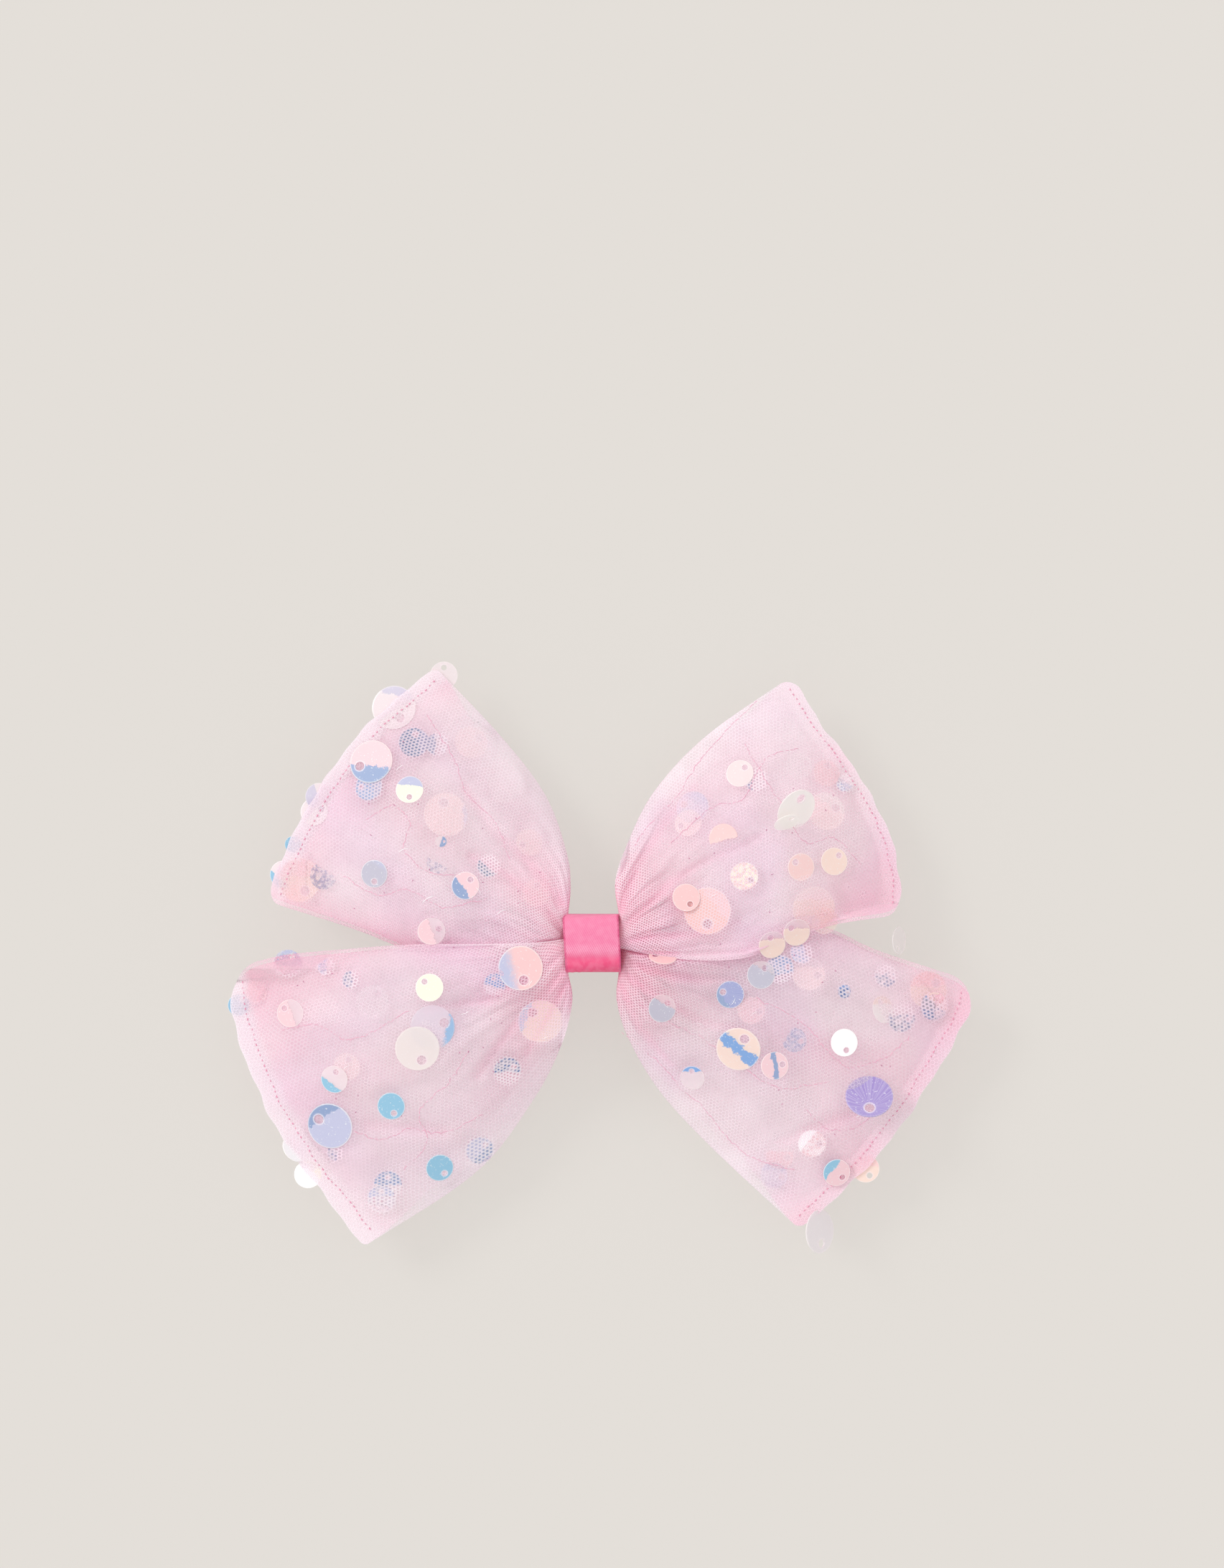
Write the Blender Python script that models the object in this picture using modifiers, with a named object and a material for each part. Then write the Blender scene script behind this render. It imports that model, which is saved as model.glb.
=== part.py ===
"""Hair bow: two gathered bands of sequinned tulle, tied at the waist, on a sprung clip.

Units are metres.  +X runs along the clip to the jaws' tip, +Y to the top of the worn bow,
+Z out of its face.  The origin is on the flat underside of the clip's lower arm, straight
below the knot.
"""
import math

import bmesh
import bpy
from mathutils import Matrix, Vector
from mathutils.bvhtree import BVHTree

# --- fits -------------------------------------------------------------------------------
SEAT_GAP = 0.0003            # between pieces that rest on each other
PIN_CLEARANCE = 0.00015      # all round the pin in its holes
SHEET_SIDE_PLAY = 0.0004     # between the upper arm's ears and the lower arm

# --- clip: two stamped arms, a pin and a torsion spring ------------------------------------
SHEET_THICKNESS = 0.0007
UPPER_ARM_WIDTH = 0.0082
JAW_LENGTH = 0.0410          # from the pin to the tip
LEVER_LENGTH = 0.0170        # from the pin to the thumb end
JAW_SPACING = 0.0027         # clear height between the two flat arms
PIN_X = -0.0115
PIN_DIAMETER = 0.0016
PIN_HEAD_DIAMETER = 0.0027
PIN_HEAD_THICKNESS = 0.0005
EAR_RADIUS = 0.0019
EAR_ROOT_LENGTH = 0.0058
HINGE_WELL_DEPTH = 0.0018    # the lower arm dips under the spring
UPPER_LEVER_RISE = 0.0014
LOWER_LEVER_DROP = 0.0062    # below the hinge well, at the thumb end
THUMB_CORNER = 0.0022
LEVER_CURL_LENGTH = 0.0025
LEVER_CURL_RISE = 0.0007
LOWER_CURL_DROP = 0.0004
NOSE_LENGTH = 0.0050
UPPER_NOSE_DROP = 0.0008
TOOTH_PITCH = 0.0016
TOOTH_HEIGHT = 0.0012
TOOTH_CLEARANCE = 0.0004     # from the teeth's points to the upper arm
RIBBON_TO_TEETH = 0.0014
SPRING_WIRE = 0.0006
SPRING_TURNS = 4
SPRING_PITCH = 0.0008
SPRING_LEG_LENGTH = 0.0085

# --- knot: tying thread and satin ribbon ---------------------------------------------------
WAIST_WIDTH = 0.0075         # across the gathers
GATHER_THICKNESS = 0.0032    # one band, gathered
THREAD_DIAMETER = 0.0005
THREAD_TURNS = 4
THREAD_PITCH = 0.0009
RIBBON_WIDTH = 0.0100
RIBBON_THICKNESS = 0.00035
RIBBON_CORNER = 0.0016
RIBBON_OVERLAP = 0.0050      # the glued end, under the upper arm

# --- tulle bands ---------------------------------------------------------------------------
PUFF_THICKNESS = 0.0170      # a lobe at its fullest
SEAM_THICKNESS = 0.0007      # the sewn end
SEAM_ALLOWANCE = 0.07        # share of a lobe's length that the flat sewn end takes
GATHER_REACH = 0.40          # share of a lobe's length where the gathers have opened
FULLEST_AT = 0.45            # share of a lobe's length
FLATTEN_FROM = 0.55          # share of a lobe's length where it starts to level out
SEAM_FALL = 0.75             # 0.5 ends a lobe round at its seam, 1 ends it thin
GATHER_ROUNDNESS = 0.35      # 0 makes a section boxy, 1 makes it a lens
LOBE_ROUNDNESS = 0.75
PLEATS = 4
PLEAT_DEPTH = 0.0007
PLEAT_START = 0.10           # share of a lobe's length where the pleats are deepest
PLEAT_REACH = 0.70           # share of a lobe's length where the pleats die out
DRAPE_SHOULDER = 0.0020      # the tulle clears the clip's edges by this, sideways
DRAPE_SLOPE = 1.4
LAP_TILT = 0.5               # slope of the face where the front band lies on the rear one
LAP_WIDTH = 0.0048           # how far the bands lap on each side of the centre line
LAP_FLANK = 2.0              # slope of that face beyond the lap
LAP_OPENING = 0.0080         # length over which that face comes to its slope
LAP_GAP = 0.0006
LOBE_LEVEL = 0.0000          # height of a lobe's middle surface at its inner edge
SEAM_LEVEL = 0.0020
REAR_NOTCH_LEVEL = 0.0060
FRONT_NOTCH_LEVEL = 0.0098
LAP_START = 0.0030           # how far a band crosses the centre line at the ribbon's mouth

# Each lobe's outline in plan, from the knot outwards.  inner is the edge beside the other
# lobe above or below, notch the edge beside the horizontal gap, seam the sewn end between.
LOBES = {
    "upper_left": {
        "inner": [(-0.0041, 0.0100), (-0.0048, 0.0160), (-0.0087, 0.0265),
                  (-0.0168, 0.0372)],
        "tip": (-0.0278, 0.0485),
        "seam": [(-0.0403, 0.0387), (-0.0492, 0.0275), (-0.0545, 0.0170)],
        "corner": (-0.0575, 0.0082),
        "notch": [(-0.0150, -0.0012), (-0.0300, -0.0010), (-0.0425, 0.0022)],
    },
    "lower_right": {
        "inner": [(0.0042, -0.0105), (0.0064, -0.0175), (0.0120, -0.0270),
                  (0.0214, -0.0372)],
        "tip": (0.0362, -0.0506),
        "seam": [(0.0455, -0.0433), (0.0547, -0.0329), (0.0620, -0.0214)],
        "corner": (0.0676, -0.0088),
        "notch": [(0.0150, 0.0018), (0.0300, 0.0034), (0.0416, 0.0027), (0.0516, -0.0016)],
    },
    "lower_left": {
        "inner": [(-0.0038, -0.0105), (-0.0058, -0.0185), (-0.0110, -0.0287),
                  (-0.0215, -0.0418)],
        "tip": (-0.0410, -0.0538),
        "seam": [(-0.0493, -0.0432), (-0.0566, -0.0325), (-0.0614, -0.0205)],
        "corner": (-0.0646, -0.0062),
        "notch": [(-0.0150, 0.0008), (-0.0300, 0.0004), (-0.0446, -0.0011), (-0.0566, -0.0024)],
    },
    "upper_right": {
        "inner": [(0.0039, 0.0110), (0.0060, 0.0175), (0.0110, 0.0272),
                  (0.0205, 0.0373)],
        "tip": (0.0340, 0.0466),
        "seam": [(0.0410, 0.0380), (0.0474, 0.0295), (0.0527, 0.0188)],
        "corner": (0.0544, 0.0062),
        "notch": [(0.0150, -0.0042), (0.0270, -0.0038), (0.0410, 0.0026)],
    },
}
BANDS = {
    "rear_band": ("upper_left", "lower_right"),
    "front_band": ("lower_left", "upper_right"),
}

# --- sequins -------------------------------------------------------------------------------
SEQUIN_THICKNESS = 0.0002
SEQUIN_HOLE = 0.0011
LARGE_SEQUIN = 0.0080
SMALL_SEQUIN = 0.0050
HOLE_OFFSET = 0.27           # from the centre, as a share of the diameter
# Each place is a share along the lobe, a share across it and the hole's direction in degrees.
LARGE_SEQUINS = {
    "upper_left": [(0.92, 0.40, 250), (0.64, 0.40, 100), (0.90, 0.84, 20)],
    "upper_right": [(0.78, 0.46, 200), (0.38, 0.62, 275), (0.76, 0.86, 120)],
    "lower_left": [(0.56, 0.54, 300), (0.88, 0.40, 150), (0.24, 0.40, 285)],
    "lower_right": [(0.52, 0.38, 60), (0.88, 0.52, 270), (0.64, 0.16, 110), (0.88, 0.86, 40)],
}
SMALL_SEQUINS = {
    "upper_left": [
        (0.78, 0.40, 270), (0.88, 0.20, 80), (0.80, 0.58, 190), (0.72, 0.74, 260),
        (0.46, 0.58, 40), (0.46, 0.32, 330), (0.68, 0.12, 150)],
    "upper_right": [
        (0.70, 0.22, 50), (0.52, 0.22, 160), (0.58, 0.46, 20), (0.54, 0.64, 300),
        (0.72, 0.66, 140), (0.86, 0.72, 45), (0.92, 0.34, 10), (0.88, 0.16, 210)],
    "lower_left": [
        (0.46, 0.76, 130), (0.78, 0.58, 80), (0.72, 0.40, 280), (0.72, 0.14, 310),
        (0.88, 0.14, 90), (0.56, 0.12, 200), (0.44, 0.24, 30), (0.86, 0.80, 145),
        (0.68, 0.78, 235)],
    "lower_right": [
        (0.40, 0.58, 170), (0.54, 0.72, 60), (0.30, 0.34, 10), (0.66, 0.42, 95),
        (0.76, 0.66, 265), (0.88, 0.26, 200), (0.84, 0.10, 120), (0.72, 0.84, 350)],
}

# --- fineness of the meshes ----------------------------------------------------------------
LOBE_STATIONS = 14
LOBE_COLUMNS = 16
ROUND_STEPS = 16
COIL_STEPS = 10
SEQUIN_STEPS = 20
HOLE_STEPS = 8

# --- sizes that follow from the ones above -------------------------------------------------
LOWER_ARM_WIDTH = UPPER_ARM_WIDTH - 2 * (SHEET_THICKNESS + SHEET_SIDE_PLAY)
UPPER_ARM_BASE = SHEET_THICKNESS + JAW_SPACING
UPPER_ARM_TOP = UPPER_ARM_BASE + SHEET_THICKNESS
TIP_X = PIN_X + JAW_LENGTH
THUMB_X = PIN_X - LEVER_LENGTH
PIN_Z = (UPPER_ARM_BASE + SHEET_THICKNESS - HINGE_WELL_DEPTH) / 2
REST_LEVEL = -HINGE_WELL_DEPTH - LOWER_LEVER_DROP
MOUTH_X = RIBBON_WIDTH / 2 + SEAT_GAP
WAIST_BASE = UPPER_ARM_TOP + 2 * SEAT_GAP + THREAD_DIAMETER
LAP_LEVEL = WAIST_BASE + GATHER_THICKNESS + LAP_GAP / 2
WAIST_TOP = LAP_LEVEL + LAP_GAP / 2 + GATHER_THICKNESS
RIBBON_INNER_HALF = WAIST_WIDTH / 2 + 2 * SEAT_GAP + THREAD_DIAMETER
RIBBON_OUTER_HALF = RIBBON_INNER_HALF + RIBBON_THICKNESS + SEAT_GAP
RIBBON_INNER_TOP = WAIST_TOP + 2 * SEAT_GAP + THREAD_DIAMETER


# --- helpers -------------------------------------------------------------------------------
def clear_scene():
    for old in list(bpy.data.objects):
        bpy.data.objects.remove(old, do_unlink=True)


def make_collection(name):
    collection = bpy.data.collections.new(name)
    bpy.context.scene.collection.children.link(collection)
    return collection


def principled(name, colour, roughness, metallic=0.0):
    material = bpy.data.materials.new(name)
    material.use_nodes = True
    shader = material.node_tree.nodes["Principled BSDF"]
    shader.inputs["Base Color"].default_value = (*colour, 1.0)
    shader.inputs["Roughness"].default_value = roughness
    shader.inputs["Metallic"].default_value = metallic
    return material


def smoothstep(low, high, value):
    share = min(max((value - low) / (high - low), 0.0), 1.0)
    return share * share * (3 - 2 * share)


def mesh_object(name, mesh, collection, material=None):
    piece = bpy.data.objects.new(name, mesh)
    collection.objects.link(piece)
    if material is not None:
        mesh.materials.append(material)
    return piece


def curve_to_mesh_object(name, curve, collection, material=None):
    """A curve as a welded mesh, so that it can be cut or joined."""
    guide = bpy.data.objects.new(name + "_guide", curve)
    collection.objects.link(guide)
    bpy.context.view_layer.update()
    evaluated = guide.evaluated_get(bpy.context.evaluated_depsgraph_get())
    mesh = bpy.data.meshes.new_from_object(evaluated)
    shell = bmesh.new()
    shell.from_mesh(mesh)
    bmesh.ops.remove_doubles(shell, verts=shell.verts, dist=1e-6)
    bmesh.ops.recalc_face_normals(shell, faces=shell.faces)
    shell.to_mesh(mesh)
    shell.free()
    bpy.data.objects.remove(guide)
    return mesh_object(name, mesh, collection, material)


def outline_plate(name, outlines, thickness, collection, material=None):
    """A flat plate in XY, centred on Z = 0, from closed outlines; inner ones are holes."""
    curve = bpy.data.curves.new(name, "CURVE")
    curve.dimensions = "2D"
    curve.fill_mode = "BOTH"
    curve.extrude = thickness / 2
    for outline in outlines:
        spline = curve.splines.new("POLY")
        spline.points.add(len(outline) - 1)
        spline.use_cyclic_u = True
        for point, (x, y) in zip(spline.points, outline):
            point.co = (x, y, 0, 1)
    return curve_to_mesh_object(name, curve, collection, material)


def circle(radius, steps, centre=(0, 0)):
    return [
        (centre[0] + radius * math.cos(math.tau * i / steps),
         centre[1] + radius * math.sin(math.tau * i / steps))
        for i in range(steps)
    ]


def place_mesh(piece, matrix):
    piece.data.transform(matrix)
    piece.data.update()


def stand_up(piece, y):
    """Turn a plate drawn in XY to stand in XZ at the given Y."""
    place_mesh(piece, Matrix.Translation((0, y, 0)) @ Matrix.Rotation(math.pi / 2, 4, "X"))


def boolean(piece, tool, operation):
    """Join, cut or trim a piece with a tool, which then only guides."""
    cut = piece.modifiers.new(tool.name, "BOOLEAN")
    cut.object = tool
    cut.operation = operation
    cut.solver = "EXACT"
    tool.hide_render = True
    tool.display_type = "WIRE"


def wire(name, points, diameter, collection, material):
    curve = bpy.data.curves.new(name, "CURVE")
    curve.dimensions = "3D"
    curve.bevel_depth = diameter / 2
    curve.bevel_resolution = 2
    curve.use_fill_caps = True
    spline = curve.splines.new("POLY")
    spline.points.add(len(points) - 1)
    for point, place in zip(spline.points, points):
        point.co = (*place, 1)
    curve.materials.append(material)
    piece = bpy.data.objects.new(name, curve)
    collection.objects.link(piece)
    return piece


def curve_through(points, share):
    """The point at a share of the length of a smooth curve through the given points."""
    lengths = [0.0]
    for start, end in zip(points, points[1:]):
        lengths.append(lengths[-1] + (end - start).length)
    target = share * lengths[-1]
    span = 0
    while span < len(points) - 2 and lengths[span + 1] < target:
        span += 1
    step = (target - lengths[span]) / (lengths[span + 1] - lengths[span])
    start, end = points[span], points[span + 1]
    before = points[span - 1] if span > 0 else 2 * start - end
    after = points[span + 2] if span + 2 < len(points) else 2 * end - start
    leave, arrive = (end - before) / 2, (after - start) / 2
    return (
        (2 * step**3 - 3 * step**2 + 1) * start
        + (step**3 - 2 * step**2 + step) * leave
        + (3 * step**2 - 2 * step**3) * end
        + (step**3 - step**2) * arrive
    )


# --- tulle bands ---------------------------------------------------------------------------
def lobe_edges(lobe):
    """The lobe's four edges as lists of plan points, from the ribbon's mouth outwards."""
    outline = LOBES[lobe]
    tip, corner = Vector(outline["tip"]), Vector(outline["corner"])
    side = math.copysign(1, tip.x)
    up = math.copysign(1, tip.y)
    inner_start = Vector((side * MOUTH_X, up * WAIST_WIDTH / 2))
    past_ribbon = Vector((side * MOUTH_X, up * RIBBON_OUTER_HALF))
    notch_start = Vector((side * MOUTH_X, -up * LAP_START))
    inner = [inner_start, past_ribbon, *map(Vector, outline["inner"]), tip]
    notch = [notch_start, *map(Vector, outline["notch"]), corner]
    seam = [tip, *map(Vector, outline["seam"]), corner]
    return inner, notch, seam


def lobe_plan(edges, along, across):
    """A Coons patch: plan point at a share along the lobe and across it from the inner edge."""
    inner, notch, seam = edges
    mouth_point = inner[0].lerp(notch[0], across)
    seam_point = curve_through(seam, across)
    between_edges = curve_through(inner, along).lerp(curve_through(notch, along), across)
    between_ends = mouth_point.lerp(seam_point, along)
    corners = inner[0].lerp(notch[0], across).lerp(inner[-1].lerp(notch[-1], across), along)
    return between_edges + between_ends - corners


def half_thickness(along):
    """Half the lobe's thickness in its middle: gathered, full, then flat at the sewn end."""
    if along >= 1 - SEAM_ALLOWANCE:
        return SEAM_THICKNESS / 2
    full = PUFF_THICKNESS / 2
    if along < FULLEST_AT:
        gathered = GATHER_THICKNESS / 2
        return gathered + (full - gathered) * math.sin(along / FULLEST_AT * math.pi / 2)
    fall = (along - FULLEST_AT) / (1 - SEAM_ALLOWANCE - FULLEST_AT)
    return SEAM_THICKNESS / 2 + (full - SEAM_THICKNESS / 2) * (1 - fall**2) ** SEAM_FALL


def clip_cover(x, y):
    """Lowest level at which tulle may lie: over the clip, or down on the table beside it."""
    reach = max(abs(y) - UPPER_ARM_WIDTH / 2 - DRAPE_SHOULDER, 0.0)
    past_ends = max(x - TIP_X - DRAPE_SHOULDER, THUMB_X - DRAPE_SHOULDER - x, 0.0)
    lever_share = smoothstep(PIN_X - EAR_RADIUS, THUMB_X, x)
    top = UPPER_ARM_TOP + UPPER_LEVER_RISE * lever_share + SEAT_GAP
    return max(top - DRAPE_SLOPE * max(reach, past_ends), REST_LEVEL)


def lap_face(x, y):
    """Level of the face where the front band lies on the rear one."""
    own_side = -math.copysign(1, x) * y
    opening = smoothstep(MOUTH_X, MOUTH_X + LAP_OPENING, abs(x))
    beyond = max(abs(own_side) - LAP_WIDTH, 0.0)
    tilt = LAP_TILT * own_side + LAP_FLANK * math.copysign(beyond, own_side)
    return LAP_LEVEL + opening * tilt


def band_level(front, along, across):
    """Height of the band's middle surface."""
    if front:
        waist_level = WAIST_TOP - GATHER_THICKNESS / 2
        notch_level = FRONT_NOTCH_LEVEL
    else:
        waist_level = WAIST_BASE + GATHER_THICKNESS / 2
        notch_level = REAR_NOTCH_LEVEL
    spread = smoothstep(0.0, GATHER_REACH, along)
    ending = smoothstep(FLATTEN_FROM, 1.0, along)
    lobe_level = LOBE_LEVEL + (notch_level - LOBE_LEVEL) * across**2
    level = waist_level + (lobe_level - waist_level) * spread
    return level + (SEAM_LEVEL - level) * ending


def band_skin(front, plan, along, across, side):
    """A point of the band's skin: side +1 on its face, -1 on its back, 0 on its edge."""
    opened = smoothstep(0.0, GATHER_REACH, along)
    roundness = GATHER_ROUNDNESS + (LOBE_ROUNDNESS - GATHER_ROUNDNESS) * opened
    bulge = (1 - (2 * across - 1) ** 2) ** roundness
    pleat = smoothstep(0.0, PLEAT_START, along) - smoothstep(PLEAT_START, PLEAT_REACH, along)
    ripple = PLEAT_DEPTH * pleat * math.cos(math.tau * PLEATS * across)
    fullness = half_thickness(along) + ripple
    z = band_level(front, along, across) + side * bulge * fullness
    lowest = clip_cover(plan.x, plan.y)
    if along == 0:
        lowest = WAIST_BASE
    if front:
        lowest = max(lowest, lap_face(plan.x, plan.y) + LAP_GAP / 2)
    thickness_here = SEAM_THICKNESS / 2 * bulge
    if side > 0:
        z = max(z, lowest + thickness_here)
    else:
        z = max(z, lowest)
    if not front:
        highest = lap_face(plan.x, plan.y) - LAP_GAP / 2
        z = min(z, highest if side > 0 else highest - thickness_here)
    return Vector((plan.x, plan.y, z))


def lobe_rings(front, lobe):
    """Closed sections of a lobe from the ribbon's mouth to its sewn end."""
    edges = lobe_edges(lobe)
    rings = []
    for station in range(LOBE_STATIONS + 1):
        along = (station / LOBE_STATIONS) ** 1.25
        face = []
        back = []
        for column in range(LOBE_COLUMNS + 1):
            across = column / LOBE_COLUMNS
            plan = lobe_plan(edges, along, across)
            on_edge = column in (0, LOBE_COLUMNS)
            face.append(band_skin(front, plan, along, across, 0 if on_edge else 1))
            if not on_edge:
                back.append(band_skin(front, plan, along, across, -1))
        rings.append(face + back[::-1])
    return rings


def loft(name, rings, collection, material):
    """A closed skin through rings of equally many points, each end closed by a strip."""
    skin = bmesh.new()
    loops = [[skin.verts.new(point) for point in ring] for ring in rings]
    count = len(rings[0])
    for near, far in zip(loops, loops[1:]):
        for i in range(count):
            j = (i + 1) % count
            skin.faces.new((near[i], near[j], far[j], far[i]))
    half = count // 2
    for loop in (loops[0], loops[-1]):
        for i in range(half):
            ends = [loop[i], loop[i + 1], loop[-i - 1], loop[-i]]
            corners = list(dict.fromkeys(ends))
            skin.faces.new(corners)
    bmesh.ops.recalc_face_normals(skin, faces=skin.faces)
    mesh = bpy.data.meshes.new(name)
    skin.to_mesh(mesh)
    skin.free()
    mesh.shade_smooth()
    return mesh_object(name, mesh, collection, material)


def make_band(name, collection, material):
    """One band of tulle: a lobe, the gathered waist and the lobe at the other side."""
    front = name == "front_band"
    left, right = BANDS[name]
    left_rings = lobe_rings(front, left)
    right_rings = lobe_rings(front, right)
    # The right lobe's inner edge is on the other side of the clip, so its sections are turned.
    turned = [[*ring[LOBE_COLUMNS::-1], *ring[:LOBE_COLUMNS:-1]] for ring in right_rings]
    return loft(name, left_rings[::-1] + turned, collection, material)


# --- knot ----------------------------------------------------------------------------------
def rounded_box_path(half_width, low, high, corner, steps):
    """A closed path in YZ round a box, from the middle of its underside."""
    path = [Vector((0, 0, low))]
    middles = [
        (half_width - corner, low + corner, -90),
        (half_width - corner, high - corner, 0),
        (corner - half_width, high - corner, 90),
        (corner - half_width, low + corner, 180),
    ]
    for y, z, start in middles:
        for step in range(steps + 1):
            angle = math.radians(start + 90 * step / steps)
            path.append(Vector((0, y + corner * math.cos(angle), z + corner * math.sin(angle))))
    return path


def make_gathering_thread(collection, material):
    """Thread wound round both bands' waists, under the ribbon."""
    reach = SEAT_GAP + THREAD_DIAMETER / 2
    turn = rounded_box_path(
        WAIST_WIDTH / 2 + reach, WAIST_BASE - reach, WAIST_TOP + reach, RIBBON_CORNER, 3)
    points = []
    for winding in range(THREAD_TURNS):
        for step, place in enumerate(turn):
            shift = (winding + step / len(turn) - THREAD_TURNS / 2) * THREAD_PITCH
            points.append(place + Vector((shift, 0, 0)))
    return wire("gathering_thread", points, THREAD_DIAMETER, collection, material)


def make_knot_ribbon(collection, material):
    """Satin ribbon round the waist and the clip's upper arm, its ends lapped underneath."""
    half = RIBBON_THICKNESS / 2
    low = UPPER_ARM_BASE - SEAT_GAP - half
    loop = rounded_box_path(
        RIBBON_INNER_HALF + half, low, RIBBON_INNER_TOP + half, RIBBON_CORNER, 5)
    lap = Vector((0, 0, -RIBBON_THICKNESS - SEAT_GAP))
    start = Vector((0, RIBBON_OVERLAP / 2, low)) + lap
    lead_in = [start, Vector((0, RIBBON_OVERLAP / 4, low)) + lap]
    centre_line = [Vector((0, -RIBBON_OVERLAP / 2, low)), *loop]
    step_down = Vector((0, -RIBBON_OVERLAP / 2 - RIBBON_CORNER / 2, low)) + lap
    centre_line += [step_down, *lead_in[::-1]]
    strip = bmesh.new()
    rails = [
        [strip.verts.new(place + Vector((end * RIBBON_WIDTH / 2, 0, 0))) for place in centre_line]
        for end in (-1, 1)
    ]
    for i in range(len(centre_line) - 1):
        strip.faces.new((rails[0][i], rails[0][i + 1], rails[1][i + 1], rails[1][i]))
    mesh = bpy.data.meshes.new("knot_ribbon")
    strip.to_mesh(mesh)
    strip.free()
    piece = mesh_object("knot_ribbon", mesh, collection, material)
    wall = piece.modifiers.new("wall", "SOLIDIFY")
    wall.thickness = RIBBON_THICKNESS
    wall.offset = 0
    return piece


# --- clip ----------------------------------------------------------------------------------
def bent_strip(name, side_line, width, collection, material=None):
    """Sheet metal that follows a side view line of (x, z) of its lower face."""
    strip = bmesh.new()
    rows = [
        [strip.verts.new((x, side * width / 2, z)) for side in (-1, 1)] for x, z in side_line
    ]
    for near, far in zip(rows, rows[1:]):
        strip.faces.new((near[0], near[1], far[1], far[0]))
    bmesh.ops.recalc_face_normals(strip, faces=strip.faces)
    if sum(face.normal.z for face in strip.faces) < 0:
        bmesh.ops.reverse_faces(strip, faces=strip.faces)
    mesh = bpy.data.meshes.new(name)
    strip.to_mesh(mesh)
    strip.free()
    piece = mesh_object(name, mesh, collection, material)
    wall = piece.modifiers.new("sheet", "SOLIDIFY")
    wall.thickness = SHEET_THICKNESS
    wall.offset = 1
    wall.use_even_offset = True
    return piece


def arm_plan(name, width, cutters):
    """A deep block with the arm's outline in plan: a round tip and round thumb corners."""
    radius = width / 2
    outline = []
    for step in range(ROUND_STEPS // 2 + 1):
        angle = math.pi * (step / (ROUND_STEPS // 2) - 0.5)
        outline.append((TIP_X - radius + radius * math.cos(angle), radius * math.sin(angle)))
    thumb_corners = ((1, 0.5), (-1, 1.0))
    for side, start in thumb_corners:
        for step in range(ROUND_STEPS // 4 + 1):
            angle = math.pi * (start + 0.5 * step / (ROUND_STEPS // 4))
            outline.append((
                THUMB_X + THUMB_CORNER * (1 + math.cos(angle)),
                side * (radius - THUMB_CORNER) + THUMB_CORNER * math.sin(angle)))
    return outline_plate(name, [outline], 4 * JAW_LENGTH, cutters)


def ear_plate(name, root_level, cutters):
    """One ear's side view: a root along the arm and a round end about the pin."""
    toward = math.copysign(1, PIN_Z - root_level)
    root = EAR_ROOT_LENGTH / 2
    outline = [(PIN_X - root, root_level), (PIN_X + root, root_level)]
    outline += [
        (PIN_X + EAR_RADIUS * math.cos(angle), PIN_Z + toward * EAR_RADIUS * math.sin(angle))
        for angle in (math.pi * step / (ROUND_STEPS // 2) for step in range(ROUND_STEPS // 2 + 1))
    ]
    return outline_plate(name, [outline], 2 * SHEET_THICKNESS, cutters)


def add_edges(arm, width, edges):
    """Join a pair of bent edges to an arm; its plan then trims them to the sheet's thickness."""
    for edge, side in zip(edges, (1, -1)):
        stand_up(edge, side * width / 2)
        boolean(arm, edge, "UNION")


def trim_arm(arm, width, cutters):
    """Cut an arm to its plan and bore its ears for the pin."""
    boolean(arm, arm_plan(arm.name + "_plan", width, cutters), "INTERSECT")
    bore = outline_plate(
        arm.name + "_bore",
        [circle(PIN_DIAMETER / 2 + PIN_CLEARANCE, ROUND_STEPS, (PIN_X, PIN_Z))],
        2 * UPPER_ARM_WIDTH, cutters)
    stand_up(bore, 0)
    boolean(arm, bore, "DIFFERENCE")


def make_upper_arm(collection, cutters, material):
    """The flat arm that carries the bow, with its thumb lever and ears outside the lower arm's."""
    side_line = [
        (TIP_X, UPPER_ARM_BASE - UPPER_NOSE_DROP),
        (TIP_X - NOSE_LENGTH, UPPER_ARM_BASE),
        (PIN_X - EAR_ROOT_LENGTH / 2, UPPER_ARM_BASE),
        (THUMB_X + LEVER_CURL_LENGTH, UPPER_ARM_BASE + UPPER_LEVER_RISE - LEVER_CURL_RISE),
        (THUMB_X, UPPER_ARM_BASE + UPPER_LEVER_RISE),
    ]
    arm = bent_strip("clip_upper_arm", side_line, 2 * UPPER_ARM_WIDTH, collection, material)
    ear_root = UPPER_ARM_BASE + SHEET_THICKNESS / 2
    ears = [ear_plate(f"upper_{label}_ear", ear_root, cutters) for label in ("left", "right")]
    add_edges(arm, UPPER_ARM_WIDTH, ears)
    trim_arm(arm, UPPER_ARM_WIDTH, cutters)
    return arm


def toothed_edge(name, cutters):
    """One bent-up edge of the lower jaw with its row of teeth, in side view."""
    root = SHEET_THICKNESS / 2
    points_level = UPPER_ARM_BASE - TOOTH_CLEARANCE
    valleys_level = points_level - TOOTH_HEIGHT
    start = RIBBON_WIDTH / 2 + RIBBON_TO_TEETH
    room = TIP_X - NOSE_LENGTH - LOWER_ARM_WIDTH / 2 - start
    teeth = int(room / TOOTH_PITCH)
    outline = [(start + teeth * TOOTH_PITCH, root), (start, root), (start, valleys_level)]
    for tooth in range(teeth):
        outline.append((start + (tooth + 0.5) * TOOTH_PITCH, points_level))
        outline.append((start + (tooth + 1) * TOOTH_PITCH, valleys_level))
    return outline_plate(name, [outline], 2 * SHEET_THICKNESS, cutters)


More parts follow.
